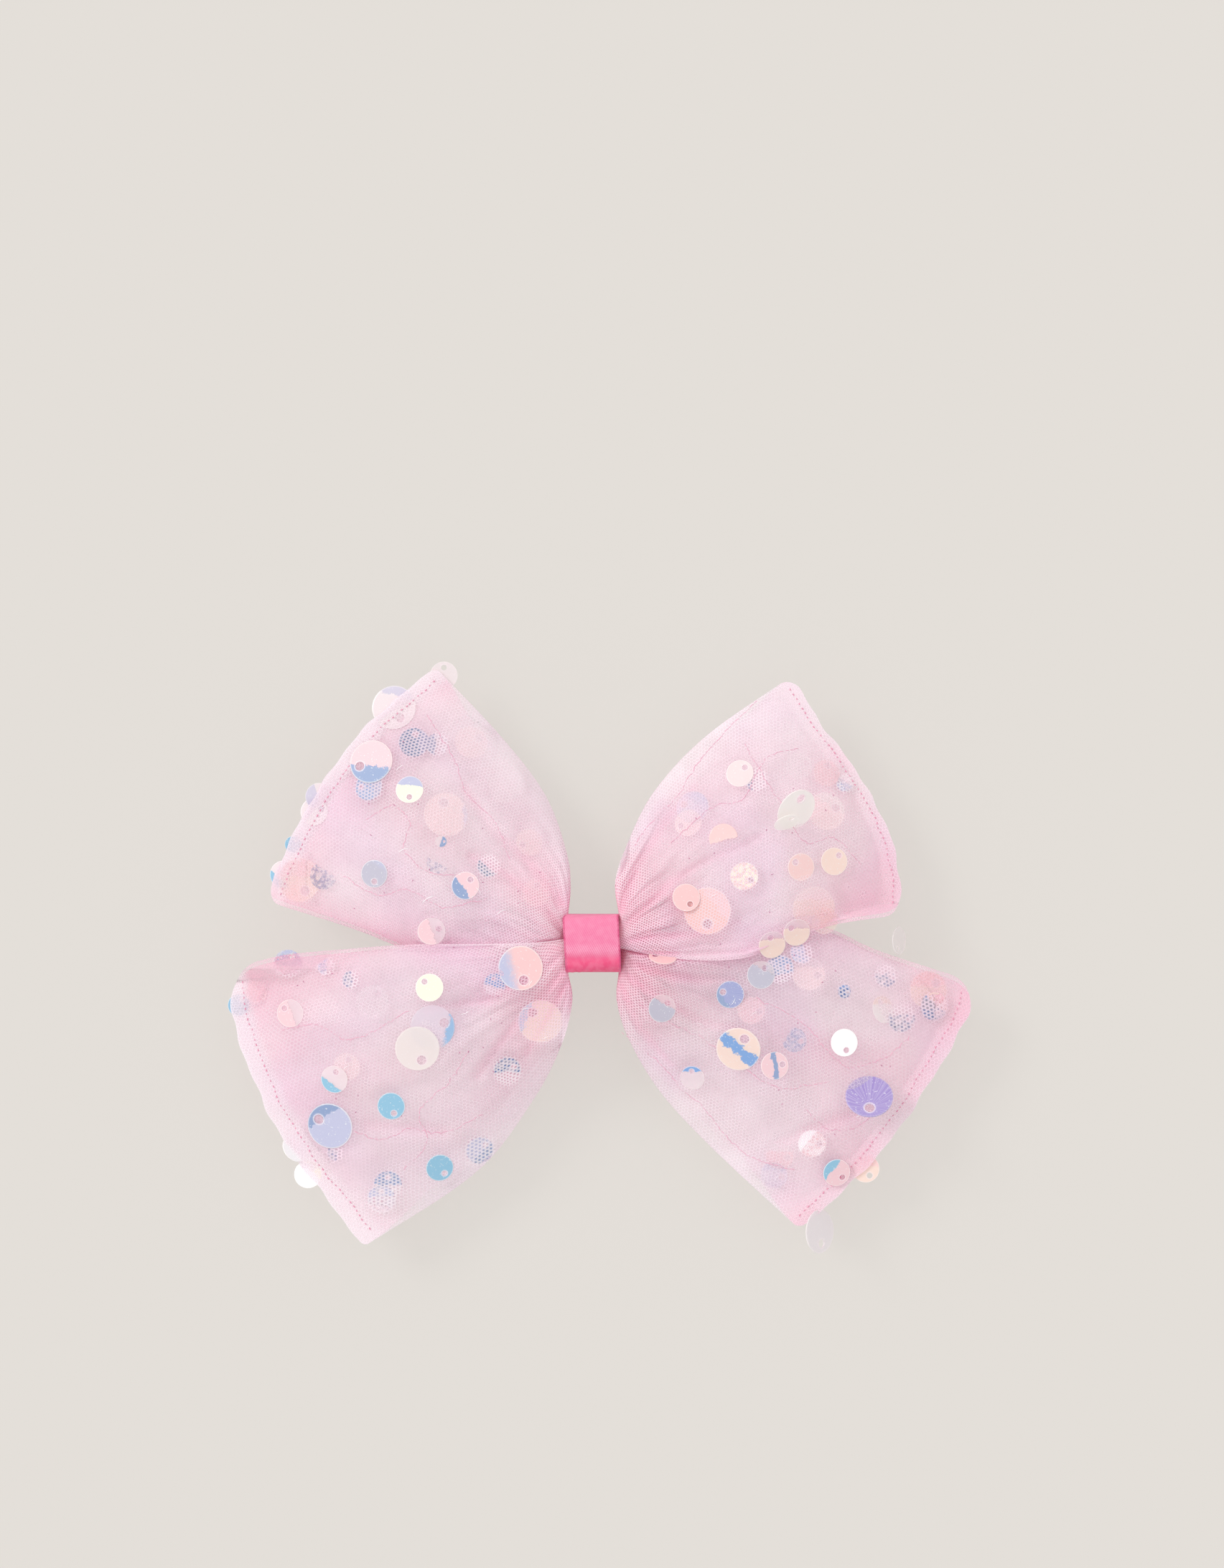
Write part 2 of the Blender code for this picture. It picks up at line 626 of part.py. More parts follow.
def make_lower_arm(collection, cutters, material):
    """The moving arm: toothed jaw, well for the spring, ears and thumb lever."""
    well_end = PIN_X + EAR_ROOT_LENGTH / 2
    side_line = [
        (TIP_X, JAW_SPACING - UPPER_NOSE_DROP - SEAT_GAP),
        (TIP_X - NOSE_LENGTH, 0),
        (-RIBBON_WIDTH / 2, 0),
        (well_end, -HINGE_WELL_DEPTH),
        (PIN_X - EAR_ROOT_LENGTH / 2, -HINGE_WELL_DEPTH),
        (THUMB_X + LEVER_CURL_LENGTH, REST_LEVEL + LOWER_CURL_DROP),
        (THUMB_X, REST_LEVEL),
    ]
    arm = bent_strip("clip_lower_arm", side_line, 2 * LOWER_ARM_WIDTH, collection, material)
    ear_root = SHEET_THICKNESS / 2 - HINGE_WELL_DEPTH
    ears = [ear_plate(f"lower_{label}_ear", ear_root, cutters) for label in ("left", "right")]
    add_edges(arm, LOWER_ARM_WIDTH, ears)
    teeth = [toothed_edge(f"{label}_teeth", cutters) for label in ("left", "right")]
    add_edges(arm, LOWER_ARM_WIDTH, teeth)
    trim_arm(arm, LOWER_ARM_WIDTH, cutters)
    return arm


def make_pin(collection, material):
    """The hinge pin: a shank with a flat head outside each ear."""
    ear_face = UPPER_ARM_WIDTH / 2 + SEAT_GAP
    end = ear_face + PIN_HEAD_THICKNESS
    profile = [(PIN_HEAD_DIAMETER / 2, end), (PIN_HEAD_DIAMETER / 2, ear_face),
               (PIN_DIAMETER / 2, ear_face)]
    profile = [(0, end), *profile, *[(r, -h) for r, h in profile[::-1]], (0, -end)]
    mesh = bpy.data.meshes.new("clip_pin")
    edges = [(i, i + 1) for i in range(len(profile) - 1)]
    mesh.from_pydata([(r, 0, h) for r, h in profile], edges, [])
    pin = mesh_object("clip_pin", mesh, collection, material)
    turn = pin.modifiers.new("turn", "SCREW")
    turn.steps = ROUND_STEPS
    turn.render_steps = ROUND_STEPS
    turn.use_merge_vertices = True
    turn.merge_threshold = 1e-6
    pin.location = (PIN_X, 0, PIN_Z)
    pin.rotation_euler = (math.pi / 2, 0, 0)
    return pin


def make_spring(collection, material):
    """A torsion spring round the pin, one leg under the upper lever, one over the lower one."""
    radius = PIN_DIAMETER / 2 + SEAT_GAP + SPRING_WIRE / 2
    half_coil = SPRING_TURNS * SPRING_PITCH / 2
    reach = SEAT_GAP + SPRING_WIRE / 2
    bend_x = PIN_X - EAR_ROOT_LENGTH / 2
    leg_end = PIN_X - SPRING_LEG_LENGTH
    lever_run = LEVER_LENGTH - EAR_ROOT_LENGTH / 2 - LEVER_CURL_LENGTH
    leg_share = (bend_x - leg_end) / lever_run
    upper_level = UPPER_ARM_BASE - reach
    upper_rise = (UPPER_LEVER_RISE - LEVER_CURL_RISE) * leg_share
    lower_level = SHEET_THICKNESS - HINGE_WELL_DEPTH + reach
    lower_drop = (LOWER_LEVER_DROP - LOWER_CURL_DROP) * leg_share
    upper_bend = Vector((bend_x, half_coil, upper_level))
    upper_end = Vector((leg_end, half_coil, upper_level + upper_rise))
    lower_bend = Vector((bend_x, -half_coil, lower_level))
    lower_end = Vector((leg_end, -half_coil, lower_level - lower_drop))
    coil = []
    steps = SPRING_TURNS * COIL_STEPS + COIL_STEPS // 2
    for step in range(steps + 1):
        angle = math.pi / 2 - math.tau * step / COIL_STEPS
        y = half_coil - 2 * half_coil * step / steps
        coil.append(
            Vector((PIN_X + radius * math.cos(angle), y, PIN_Z + radius * math.sin(angle))))
    points = [upper_end, upper_bend, *coil, lower_bend, lower_end]
    return wire("clip_spring", points, SPRING_WIRE, collection, material)


# --- sequins -------------------------------------------------------------------------------
def sequin_mesh(name, diameter, material, collection):
    offset = HOLE_OFFSET * diameter
    outlines = [
        circle(diameter / 2, SEQUIN_STEPS), circle(SEQUIN_HOLE / 2, HOLE_STEPS, (offset, 0))]
    piece = outline_plate(name, outlines, SEQUIN_THICKNESS, collection, material)
    mesh = piece.data
    bpy.data.objects.remove(piece)
    return mesh


def seat_sequin(trees, plan, hole_direction, diameter):
    """The place of a sequin that lies on the uppermost tulle, just clear of it everywhere."""
    down = Vector((0, 0, -1))
    above = WAIST_TOP + PUFF_THICKNESS
    samples = [(plan.x, plan.y)]
    for ring_radius in (diameter / 4, diameter / 2):
        samples += circle(ring_radius, SEQUIN_STEPS, plan)
    hits = []
    for x, y in samples:
        found = [tree.ray_cast(Vector((x, y, above)), down) for tree in trees]
        found = [(hit[0], hit[1]) for hit in found if hit[0] is not None]
        if found:
            hits.append(max(found, key=lambda hit: hit[0].z))
    centre = hits[0][0]
    normal = sum((hit[1] for hit in hits), Vector()).normalized()
    proud = max((place - centre).dot(normal) for place, _ in hits)
    seat = centre + normal * (proud + SEAT_GAP + SEQUIN_THICKNESS / 2)
    turn = Vector((0, 0, 1)).rotation_difference(normal).to_matrix().to_4x4()
    spin = Matrix.Rotation(math.radians(hole_direction), 4, "Z")
    return Matrix.Translation(seat) @ turn @ spin


def make_sequins(trees, collection, cutters, material):
    sets = (
        ("large_sequin", LARGE_SEQUIN, LARGE_SEQUINS),
        ("small_sequin", SMALL_SEQUIN, SMALL_SEQUINS),
    )
    for name, diameter, lobes in sets:
        mesh = sequin_mesh(name, diameter, material, cutters)
        number = 0
        for lobe, places in lobes.items():
            edges = lobe_edges(lobe)
            for along, across, hole_direction in places:
                number += 1
                plan = lobe_plan(edges, along, across)
                sequin = bpy.data.objects.new(f"{name}_{number:02d}", mesh)
                collection.objects.link(sequin)
                sequin.matrix_world = seat_sequin(trees, plan, hole_direction, diameter)


def build():
    clear_scene()
    parts = make_collection("hair_bow")
    cutters = make_collection("cutters")
    rear = make_band("rear_band", parts, principled("rear_tulle", (0.90, 0.69, 0.77), 0.9))
    front = make_band("front_band", parts, principled("front_tulle", (0.92, 0.71, 0.79), 0.9))
    make_gathering_thread(parts, principled("polyester_thread", (0.86, 0.36, 0.53), 0.7))
    make_knot_ribbon(parts, principled("pink_satin", (0.95, 0.27, 0.46), 0.35))
    make_upper_arm(parts, cutters, principled("upper_arm_nickel", (0.78, 0.77, 0.75), 0.3, 1.0))
    make_lower_arm(parts, cutters, principled("lower_arm_nickel", (0.74, 0.73, 0.71), 0.3, 1.0))
    make_pin(parts, principled("pin_steel", (0.66, 0.66, 0.66), 0.35, 1.0))
    make_spring(parts, principled("spring_steel", (0.55, 0.55, 0.57), 0.4, 1.0))
    trees = []
    for band in (rear, front):
        skin = bmesh.new()
        skin.from_mesh(band.data)
        trees.append(BVHTree.FromBMesh(skin))
        skin.free()
    make_sequins(trees, parts, cutters, principled("pearl_film", (0.85, 0.83, 0.93), 0.15, 0.3))


build()
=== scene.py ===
# %% [markdown]
# Hair bow: two bands of sequinned tulle, gathered on a sprung clip and tied with satin.
#
# The clip, its pin and its spring are solids of the frame and only get a finish here.  The tulle,
# the sequins, the stitching and the satin ribbon are made again in fine detail, each in the
# place that its solid holds.  Every cell makes one thing and prints what it made.

# %% The frame
import math

import bpy
import numpy as np
from mathutils import Matrix, Vector


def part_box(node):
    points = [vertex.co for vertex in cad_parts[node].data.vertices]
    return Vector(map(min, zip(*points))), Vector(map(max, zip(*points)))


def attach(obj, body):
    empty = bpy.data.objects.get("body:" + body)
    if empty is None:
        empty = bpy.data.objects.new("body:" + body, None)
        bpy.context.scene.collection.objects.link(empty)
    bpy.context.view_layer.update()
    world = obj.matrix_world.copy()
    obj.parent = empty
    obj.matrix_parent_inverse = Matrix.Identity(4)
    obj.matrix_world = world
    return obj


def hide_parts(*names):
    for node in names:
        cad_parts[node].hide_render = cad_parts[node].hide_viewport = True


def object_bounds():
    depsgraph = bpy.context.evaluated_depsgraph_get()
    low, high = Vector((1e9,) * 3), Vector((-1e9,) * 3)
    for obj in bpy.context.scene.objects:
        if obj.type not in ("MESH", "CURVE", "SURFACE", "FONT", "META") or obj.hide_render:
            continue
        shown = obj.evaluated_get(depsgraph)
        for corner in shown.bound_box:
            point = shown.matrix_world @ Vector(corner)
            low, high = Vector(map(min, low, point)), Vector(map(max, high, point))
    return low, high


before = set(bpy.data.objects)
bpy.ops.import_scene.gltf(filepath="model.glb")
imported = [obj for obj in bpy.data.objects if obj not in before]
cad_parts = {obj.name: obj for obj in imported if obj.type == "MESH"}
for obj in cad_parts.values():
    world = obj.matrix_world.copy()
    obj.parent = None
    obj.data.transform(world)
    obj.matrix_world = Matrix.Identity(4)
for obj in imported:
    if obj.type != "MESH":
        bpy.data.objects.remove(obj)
solid_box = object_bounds()
scene = bpy.context.scene
MM = 0.001
print("solids span", [round((high - low) / MM, 1) for low, high in zip(*solid_box)], "mm")

# %% [markdown]
# A material or a modifier tree is a handful of nodes, and writing each one out takes many lines.
# One helper adds a node, gives its inputs values or links, and returns it, so that a tree reads
# as a list of steps.

# %% Helpers for nodes
def put(tree, kind, inputs=None, **settings):
    """Add a node; an input's value is either a number or another node's output."""
    node = tree.nodes.new(kind)
    for name, value in settings.items():
        setattr(node, name, value)
    for name, value in (inputs or {}).items():
        if isinstance(value, bpy.types.NodeSocket):
            tree.links.new(value, node.inputs[name])
        else:
            node.inputs[name].default_value = value
    return node


def calc(tree, operation, first, second=0.0, third=0.0):
    inputs = {0: first, 1: second, 2: third}
    return put(tree, "ShaderNodeMath", inputs, operation=operation).outputs[0]


def vector_calc(tree, operation, first, second=(0, 0, 0), third=(0, 0, 0)):
    inputs = {0: first, 1: second, 2: third}
    node = put(tree, "ShaderNodeVectorMath", inputs, operation=operation)
    return node.outputs["Value" if operation in ("DOT_PRODUCT", "LENGTH") else "Vector"]


def blend_colour(tree, share, first, second):
    inputs = {"Factor": share, "A": first, "B": second}
    node = put(tree, "ShaderNodeMix", data_type="RGBA")
    for name, value in inputs.items():
        socket = next(s for s in node.inputs if s.name == name and s.enabled)
        if isinstance(value, bpy.types.NodeSocket):
            tree.links.new(value, socket)
        else:
            socket.default_value = value
    return next(s for s in node.outputs if s.enabled)


def attribute(tree, name, output="Fac"):
    return put(tree, "ShaderNodeAttribute", attribute_name=name).outputs[output]


def ramp(tree, value, low, high, to_low=0.0, to_high=1.0, smooth=True):
    kind = "SMOOTHSTEP" if smooth else "LINEAR"
    inputs = {"Value": value, "From Min": low, "From Max": high,
              "To Min": to_low, "To Max": to_high}
    return put(tree, "ShaderNodeMapRange", inputs, interpolation_type=kind).outputs[0]


def noise(tree, place, scale, detail=2.0, roughness=0.5):
    inputs = {"Vector": place, "Scale": scale, "Detail": detail, "Roughness": roughness}
    return put(tree, "ShaderNodeTexNoise", inputs).outputs["Fac"]


def new_material(name, **shader_values):
    """A Principled material; values are given by input name with _ for a space."""
    material = bpy.data.materials.new(name)
    material.use_nodes = True
    tree = material.node_tree
    shader = tree.nodes["Principled BSDF"]
    for name, value in shader_values.items():
        shader.inputs[name.replace("_", " ")].default_value = value
    return material, tree, shader


def object_place(tree):
    return put(tree, "ShaderNodeTexCoord").outputs["Object"]


print("node helpers ready")

# %% [markdown]
# The bow lies face up on a pale sheet and is looked at from straight above.  A camera can be
# moved about until its picture looks right, but then nobody knows why it stands where it does.
# Here the height of what it takes in and its distance are chosen, the lens follows from them, and
# the place is counted from the knot, so the picture stays right if the bow's size changes.

# %% Camera
FIELD_HEIGHT = 280.0 * MM          # what the upright picture takes in, at the knot
CAMERA_DISTANCE = 1200.0 * MM
KNOT_TO_CENTRE = (3.33 * MM, 28.5 * MM)
SENSOR = 36.0                      # in mm, as the lens is
NEAREST_SEEN = 50.0 * MM

ribbon_low, ribbon_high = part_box("knot_ribbon")
camera_data = bpy.data.cameras.new("camera")
camera_data.sensor_width = SENSOR
camera_data.lens = SENSOR * CAMERA_DISTANCE / FIELD_HEIGHT
camera_data.clip_start = NEAREST_SEEN
camera = bpy.data.objects.new("camera", camera_data)
scene.collection.objects.link(camera)
camera.location = (*KNOT_TO_CENTRE, ribbon_high.z + CAMERA_DISTANCE)
scene.camera = camera
print(f"camera {camera_data.lens:.1f} mm lens, {camera.location.z:.3f} m up")

# %% [markdown]
# The floor is a sheet of pale paper.  Lamps near a sheet leave bright pools on it, so it is lit by
# things that reach all of it alike: a sky and a sun.  The paper's colour is what should be seen,
# divided by that light.  The camera sees it partly as an even glow, which keeps the bow's shadow
# as faint as it is in a room with light walls.

# %% Floor
PAPER_SEEN = (0.775, 0.738, 0.694, 1.0)
LIGHT_LEVEL = 1.09                 # of the sky and the sun together, on a level white sheet
FLOOR_SIZE = 12.0                  # m, so that its edge is never in view
FLOOR_DROP = 0.1 * MM              # below the lowest point of the bow
FLOOR_EVENNESS = 0.74              # share of the floor's look that shadows don't touch

paper_colour = tuple(value / LIGHT_LEVEL for value in PAPER_SEEN[:3])
floor_mesh = bpy.data.meshes.new("floor")
half = FLOOR_SIZE / 2
floor_level = solid_box[0].z - FLOOR_DROP
floor_mesh.from_pydata(
    [(x, y, floor_level) for x, y in ((-half, -half), (half, -half), (half, half), (-half, half))],
    [], [(0, 1, 2, 3)])
floor = bpy.data.objects.new("floor", floor_mesh)
scene.collection.objects.link(floor)
floor_paint, tree, shader = new_material(
    "floor_paper", Base_Color=(*paper_colour, 1), Roughness=1.0, Specular_IOR_Level=0.0)
lit = put(tree, "ShaderNodeLightPath").outputs["Is Camera Ray"]
even = put(tree, "ShaderNodeEmission", {"Color": PAPER_SEEN, "Strength": 1.0}).outputs[0]
share = calc(tree, "MULTIPLY", lit, FLOOR_EVENNESS)
sheet = put(tree, "ShaderNodeMixShader", {0: share, 1: shader.outputs[0], 2: even}).outputs[0]
tree.links.new(sheet, tree.nodes["Material Output"].inputs["Surface"])
floor_mesh.materials.append(floor_paint)
print(f"floor {FLOOR_SIZE:.0f} m wide at {floor_level / MM:.1f} mm")

# %% [markdown]
# The light is that of a bright room: even from all round, and a little stronger from a window at
# the upper left, which gives the soft shadow.  The window could be an area lamp, but a lamp is
# brighter where it is near, so it is a sun as wide as the window looks from the bow.  The sky is
# an even white, and only gloss sees it brighter towards the window.  Net is seen through many
# layers, and light passes each of them, so more bounces are allowed than is usual.

# %% Sun and sky
SKY_LIGHT = 0.88
SUN_WIDTH = math.radians(22)
SUN_FROM = Vector((-0.78, 0.52, 0.74))
WINDOW_EDGES = (0.35, 0.95)        # cosines of the angles from the window's middle to its edges
ROOM_GLOW = (0.62, 1.25)           # away from the window, and at its middle
WHITE = (1, 1, 1, 1)
LAYERS_SEEN_THROUGH = 40
BOUNCES = 10

SUN_LIGHT = math.pi * (LIGHT_LEVEL - SKY_LIGHT) / SUN_FROM.normalized().z
scene.view_settings.view_transform = "Standard"
scene.cycles.transparent_max_bounces = LAYERS_SEEN_THROUGH
scene.cycles.diffuse_bounces = BOUNCES
scene.cycles.transmission_bounces = BOUNCES

sun_data = bpy.data.lights.new("window", "SUN")
sun_data.energy = SUN_LIGHT
sun_data.angle = SUN_WIDTH
sun = bpy.data.objects.new("window", sun_data)
sun.rotation_mode = "QUATERNION"
sun.rotation_quaternion = SUN_FROM.to_track_quat("Z", "Y")
scene.collection.objects.link(sun)

world = bpy.data.worlds.new("studio")
scene.world = world
world.use_nodes = True
tree = world.node_tree
tree.nodes.clear()
rays = put(tree, "ShaderNodeLightPath").outputs
sky = put(tree, "ShaderNodeBackground", {"Color": WHITE, "Strength": SKY_LIGHT}).outputs[0]
direction = put(tree, "ShaderNodeTexCoord").outputs["Generated"]
toward_window = vector_calc(tree, "DOT_PRODUCT", direction, tuple(SUN_FROM.normalized()))
strength = ramp(tree, toward_window, *WINDOW_EDGES, *ROOM_GLOW)
room = put(tree, "ShaderNodeBackground", {"Color": WHITE, "Strength": strength}).outputs[0]
paper = put(tree, "ShaderNodeBackground", {"Color": PAPER_SEEN, "Strength": 1.0}).outputs[0]
glossy = put(tree, "ShaderNodeMixShader", {0: rays["Is Glossy Ray"], 1: sky, 2: room}).outputs[0]
seen = rays["Is Camera Ray"]
mixed = put(tree, "ShaderNodeMixShader", {0: seen, 1: glossy, 2: paper}).outputs[0]
put(tree, "ShaderNodeOutputWorld", {"Surface": mixed})
print(f"sun of {SUN_LIGHT:.2f} and a sky of {SKY_LIGHT:.2f} light the bow")

# %% [markdown]
# Each band is a tube of tulle, pressed flat, sewn shut at both ends and gathered in the middle, so
# that it opens into a lobe at either side.  Such a tube could be gathered by a cloth simulation,
# but the outline that a simulation settles in can't be chosen.  So a lobe is drawn by its outline
# seen from above: an inner edge from the ribbon to the tip, a sewn end from the tip to the outer
# corner, and an edge along the notch between the two lobes on its side.

# %% Outlines of the lobes
# points in mm from the middle of the knot
LOBES = {
    "upper_left": {
        "inner": [(-4.1, 10.0), (-4.8, 16.0), (-8.7, 26.5), (-16.8, 37.2)],
        "tip": (-28.9, 50.0),
        "seam": [(-41.0, 39.3), (-50.0, 27.8), (-55.6, 17.1)],
        "corner": (-59.4, 7.5),
        "notch": [(-12.0, -4.2), (-27.0, -3.6), (-42.5, 2.2)],
    },
    "lower_right": {
        "inner": [(4.2, -10.5), (6.4, -17.5), (12.0, -27.0), (21.4, -37.2)],
        "tip": (37.6, -52.2),
        "seam": [(46.5, -44.0), (55.8, -33.4), (63.4, -21.7)],
        "corner": (70.6, -7.8),
        "notch": [(15.0, 1.8), (30.0, 3.4), (41.6, 2.7), (51.6, -1.6)],
    },
    "lower_left": {
        "inner": [(-3.8, -10.5), (-5.8, -18.5), (-11.0, -28.7), (-21.5, -41.8)],
        "tip": (-42.0, -55.3),
        "seam": [(-50.3, -44.0), (-57.9, -33.2), (-63.3, -21.0)],
        "corner": (-67.4, -5.5),
        "notch": [(-10.0, 0.2), (-20.0, -0.1), (-32.0, -0.2), (-44.6, -1.1), (-56.6, -2.4)],
    },
    "upper_right": {
        "inner": [(3.9, 11.0), (6.0, 17.5), (11.0, 27.2), (20.5, 37.3)],
        "tip": (36.2, 48.3),
        "seam": [(42.0, 38.6), (48.4, 29.9), (54.0, 19.0)],
        "corner": (56.2, 5.2),
        "notch": [(10.0, -2.0), (18.0, -3.0), (27.0, -2.6), (35.0, 0.4), (43.0, 3.2)],
    },
}
BANDS = {"rear": ("upper_left", "lower_right"), "front": ("lower_left", "upper_right")}
MOUTH_X = ribbon_high.x - 0.5 * MM     # where the gathers leave the ribbon
WAIST_HALF = 3.75 * MM
PAST_RIBBON = 5.5 * MM                 # how far out the inner edges swing as they leave it
LAP_START = {"rear": 3.0 * MM, "front": 0.9 * MM}  # how far a band crosses the middle there


def smooth_line(points, shares):
    """Points at shares of the length of a smooth curve through given points."""
    p = np.asarray(points, float)
    lengths = np.concatenate([[0], np.cumsum(np.linalg.norm(np.diff(p, axis=0), axis=1))])
    target = np.asarray(shares) * lengths[-1]
    span = np.clip(np.searchsorted(lengths, target, side="right") - 1, 0, len(p) - 2)
    step = ((target - lengths[span]) / (lengths[span + 1] - lengths[span]))[:, None]
    padded = np.vstack([2 * p[0] - p[1], p, 2 * p[-1] - p[-2]])
    before, start, end, after = (padded[span + k] for k in range(4))
    leave, arrive = (end - before) / 2, (after - start) / 2
    return ((2 * step**3 - 3 * step**2 + 1) * start + (step**3 - 2 * step**2 + step) * leave
            + (3 * step**2 - 2 * step**3) * end + (step**3 - step**2) * arrive)


def lobe_lines(lobe):
    """The inner, notch and seam edges of a lobe, in metres, each from the knot outwards."""
    drawn = {key: np.atleast_2d(value) * MM for key, value in LOBES[lobe].items()}
    side, up = np.sign(drawn["tip"][0])
    start = [(side * MOUTH_X, up * WAIST_HALF), (side * MOUTH_X, up * PAST_RIBBON)]
    inner = np.vstack([start, drawn["inner"], drawn["tip"]])
    band = "front" if lobe in BANDS["front"] else "rear"
    start = (side * MOUTH_X, -up * LAP_START[band])
    notch = np.vstack([[start], drawn["notch"], drawn["corner"]])
    seam = np.vstack([drawn["tip"], drawn["seam"], drawn["corner"]])
    return inner, notch, seam


for lobe in LOBES:
    reach = np.linalg.norm(lobe_lines(lobe)[0][-1])
    print(f"{lobe} reaches {reach / MM:.0f} mm to its tip")

# %% [markdown]
# An outline has to be filled with a net of points.  Blender's fill tools give triangles that run
# any way, but the pattern of the net and the pleats should start in the gathers and fan out, as
# the lengthwise threads of the real net do.  A Coons patch does that: it blends the two long
# edges, blends the two ends, adds them, and takes off the four corners that were counted twice.
# The sewn corners are rounded by drawing the net in, and the sewn edge wavers like a cut one.

# %% The net of lines in a lobe
# radii in mm that the outer corner and the tip are rounded to
ROUNDING = {"upper_left": (3.0, 1.5), "lower_right": (6.0, 1.5), "lower_left": (7.5, 1.0),
            "upper_right": (4.5, 3.0)}
LOBE_LENGTH = 62.0 * MM
FLAT_HALF = 50.0 * MM                  # width of the tube, pressed flat
RAGGED = 0.012                         # share by which the sewn edge wavers
RAGGED_START = 8                       # power of the share along, so only the last part wavers
RAGGED_WAVES = (0.4, 1.0, 1.7)
RAGGED_PITCH = 31                      # radians across a sewn end, in the middle wave


def round_off(along, across, radius):
    """Shares drawn in from the corner where both are 1, as a square is bent into a disc."""
    reach_a, reach_s = radius / LOBE_LENGTH, radius / FLAT_HALF
    near_a = np.clip(1 - (1 - along) / reach_a, 0, 1)
    near_s = np.clip(1 - (1 - across) / reach_s, 0, 1)
    moved_a = 1 - reach_a * (1 - near_a * np.sqrt(1 - near_s**2 / 2))
    moved_s = 1 - reach_s * (1 - near_s * np.sqrt(1 - near_a**2 / 2))
    return np.where(near_a > 0, moved_a, along), np.where(near_s > 0, moved_s, across)


def lobe_plan(lobe, along, across):
    """Plan points of a Coons patch at a grid of shares, with the sewn corners rounded."""
    def on(line, shares):
        return smooth_line(line, shares.ravel()).reshape(*shares.shape, 2)

    inner, notch, seam = lobe_lines(lobe)
    corner_radius, tip_radius = ROUNDING[lobe]
    along, across = round_off(along, across, corner_radius * MM)
    along, from_notch = round_off(along, 1 - across, tip_radius * MM)
    across = 1 - from_notch
    waver = sum(np.sin(step * across * RAGGED_PITCH + step) for step in RAGGED_WAVES) / 3
    along = along * (1 - RAGGED * along**RAGGED_START * (0.5 + 0.5 * waver))
    a, s = along[..., None], across[..., None]
    mouth = inner[0] * (1 - s) + notch[0] * s
    ends = mouth * (1 - a) + on(seam, across) * a
    rails = on(inner, along) * (1 - s) + on(notch, along) * s
    corners = mouth * (1 - a) + (inner[-1] * (1 - s) + notch[-1] * s) * a
    return ends + rails - corners


middle = lobe_plan("upper_right", np.full((1, 1), 0.5), np.full((1, 1), 0.5))[0, 0]
print("the middle of the upper right lobe is at", [round(value / MM, 1) for value in middle], "mm")

# %% [markdown]
# Gathered tulle puffs up into a soft pillow that is flat at the knot and at the seam.  Sculpting
# it by hand would work, but each change to an outline would have to be sculpted again.  A sum of
# simple rules follows any outline: the level of the middle surface, half the thickness of the
# pillow, and its relief.  This cell gives the first two for a share of the way along the lobe.

# %% Levels and thickness of the tulle
GATHER = 3.2 * MM                      # one gathered band at the waist
PUFF = 17.0 * MM
FULLEST = 0.45
SEAM_THICKNESS = 0.5 * MM
SEAM_ALLOWANCE = 0.05                  # share of a lobe's length beyond the stitching
SEAM_BLUNTNESS = 0.75                  # power; a smaller one keeps a lobe full nearer its seam
BETWEEN_BANDS = 0.3 * MM
WAIST_BASE = 5.2 * MM
LAP_LEVEL = WAIST_BASE + GATHER + BETWEEN_BANDS
WAIST_TOP = LAP_LEVEL + BETWEEN_BANDS + GATHER
REAR_LIFT = 2.2 * MM                   # the rear gathers spring up as soon as they leave the knot
REAR_LIFT_SPAN = (0, 0.05, 0.15, 0.5)  # shares of the length where it starts, is full, ends
LEVELS = {"rear": 6.0 * MM, "front": 9.8 * MM}     # of the notch edge, once the gathers are open
SEAM_LEVEL = 2.0 * MM
SEAM_FALL = (0.55, 1.0)                # shares of the length where a lobe comes down to its seam
OPEN_AT = 0.40                         # share of the length where the gathers are open


def smoothstep(low, high, value):
    share = np.clip((value - low) / (high - low), 0, 1)
    return share * share * (3 - 2 * share)


def half_thickness(along):
    full = PUFF / 2
    rise = GATHER / 2 + (full - GATHER / 2) * np.sin(np.clip(along / FULLEST, 0, 1) * math.pi / 2)
    fall = np.clip((along - FULLEST) / (1 - SEAM_ALLOWANCE - FULLEST), 0, 1)
    flat = SEAM_THICKNESS / 2
    seamward = flat + (full - flat) * (1 - fall**2) ** SEAM_BLUNTNESS
    return np.where(along < FULLEST, rise, seamward)


def middle_level(band, along, across):
    waist = WAIST_TOP - GATHER / 2 if band == "front" else WAIST_BASE + GATHER / 2
    opened = LEVELS[band] * across**2
    level = waist + (opened - waist) * smoothstep(0, OPEN_AT, along)
    if band == "rear":
        up, raised, down, settled = REAR_LIFT_SPAN
        lifted = REAR_LIFT * smoothstep(up, raised, along)
        level = level + lifted * (1 - smoothstep(down, settled, along))
    return level + (SEAM_LEVEL - level) * smoothstep(*SEAM_FALL, along)


print(f"waist {WAIST_BASE / MM:.1f} to {WAIST_TOP / MM:.1f} mm up, puff {PUFF / MM:.0f} mm")

# %% [markdown]
# The lobes share their space with the clip below them and with each other.  Blender could push
# them apart as colliding cloth, but two more levels do it at once and never leave a snag.  A cover
# over the clip's arm holds the tulle up.  A slanted face parts the bands where they cross: beside
# the knot it follows the front band's notch edge, whose rim is rolled up onto the rear gathers,
# and past the edge of either band it turns steeply away, so that each tube closes freely.

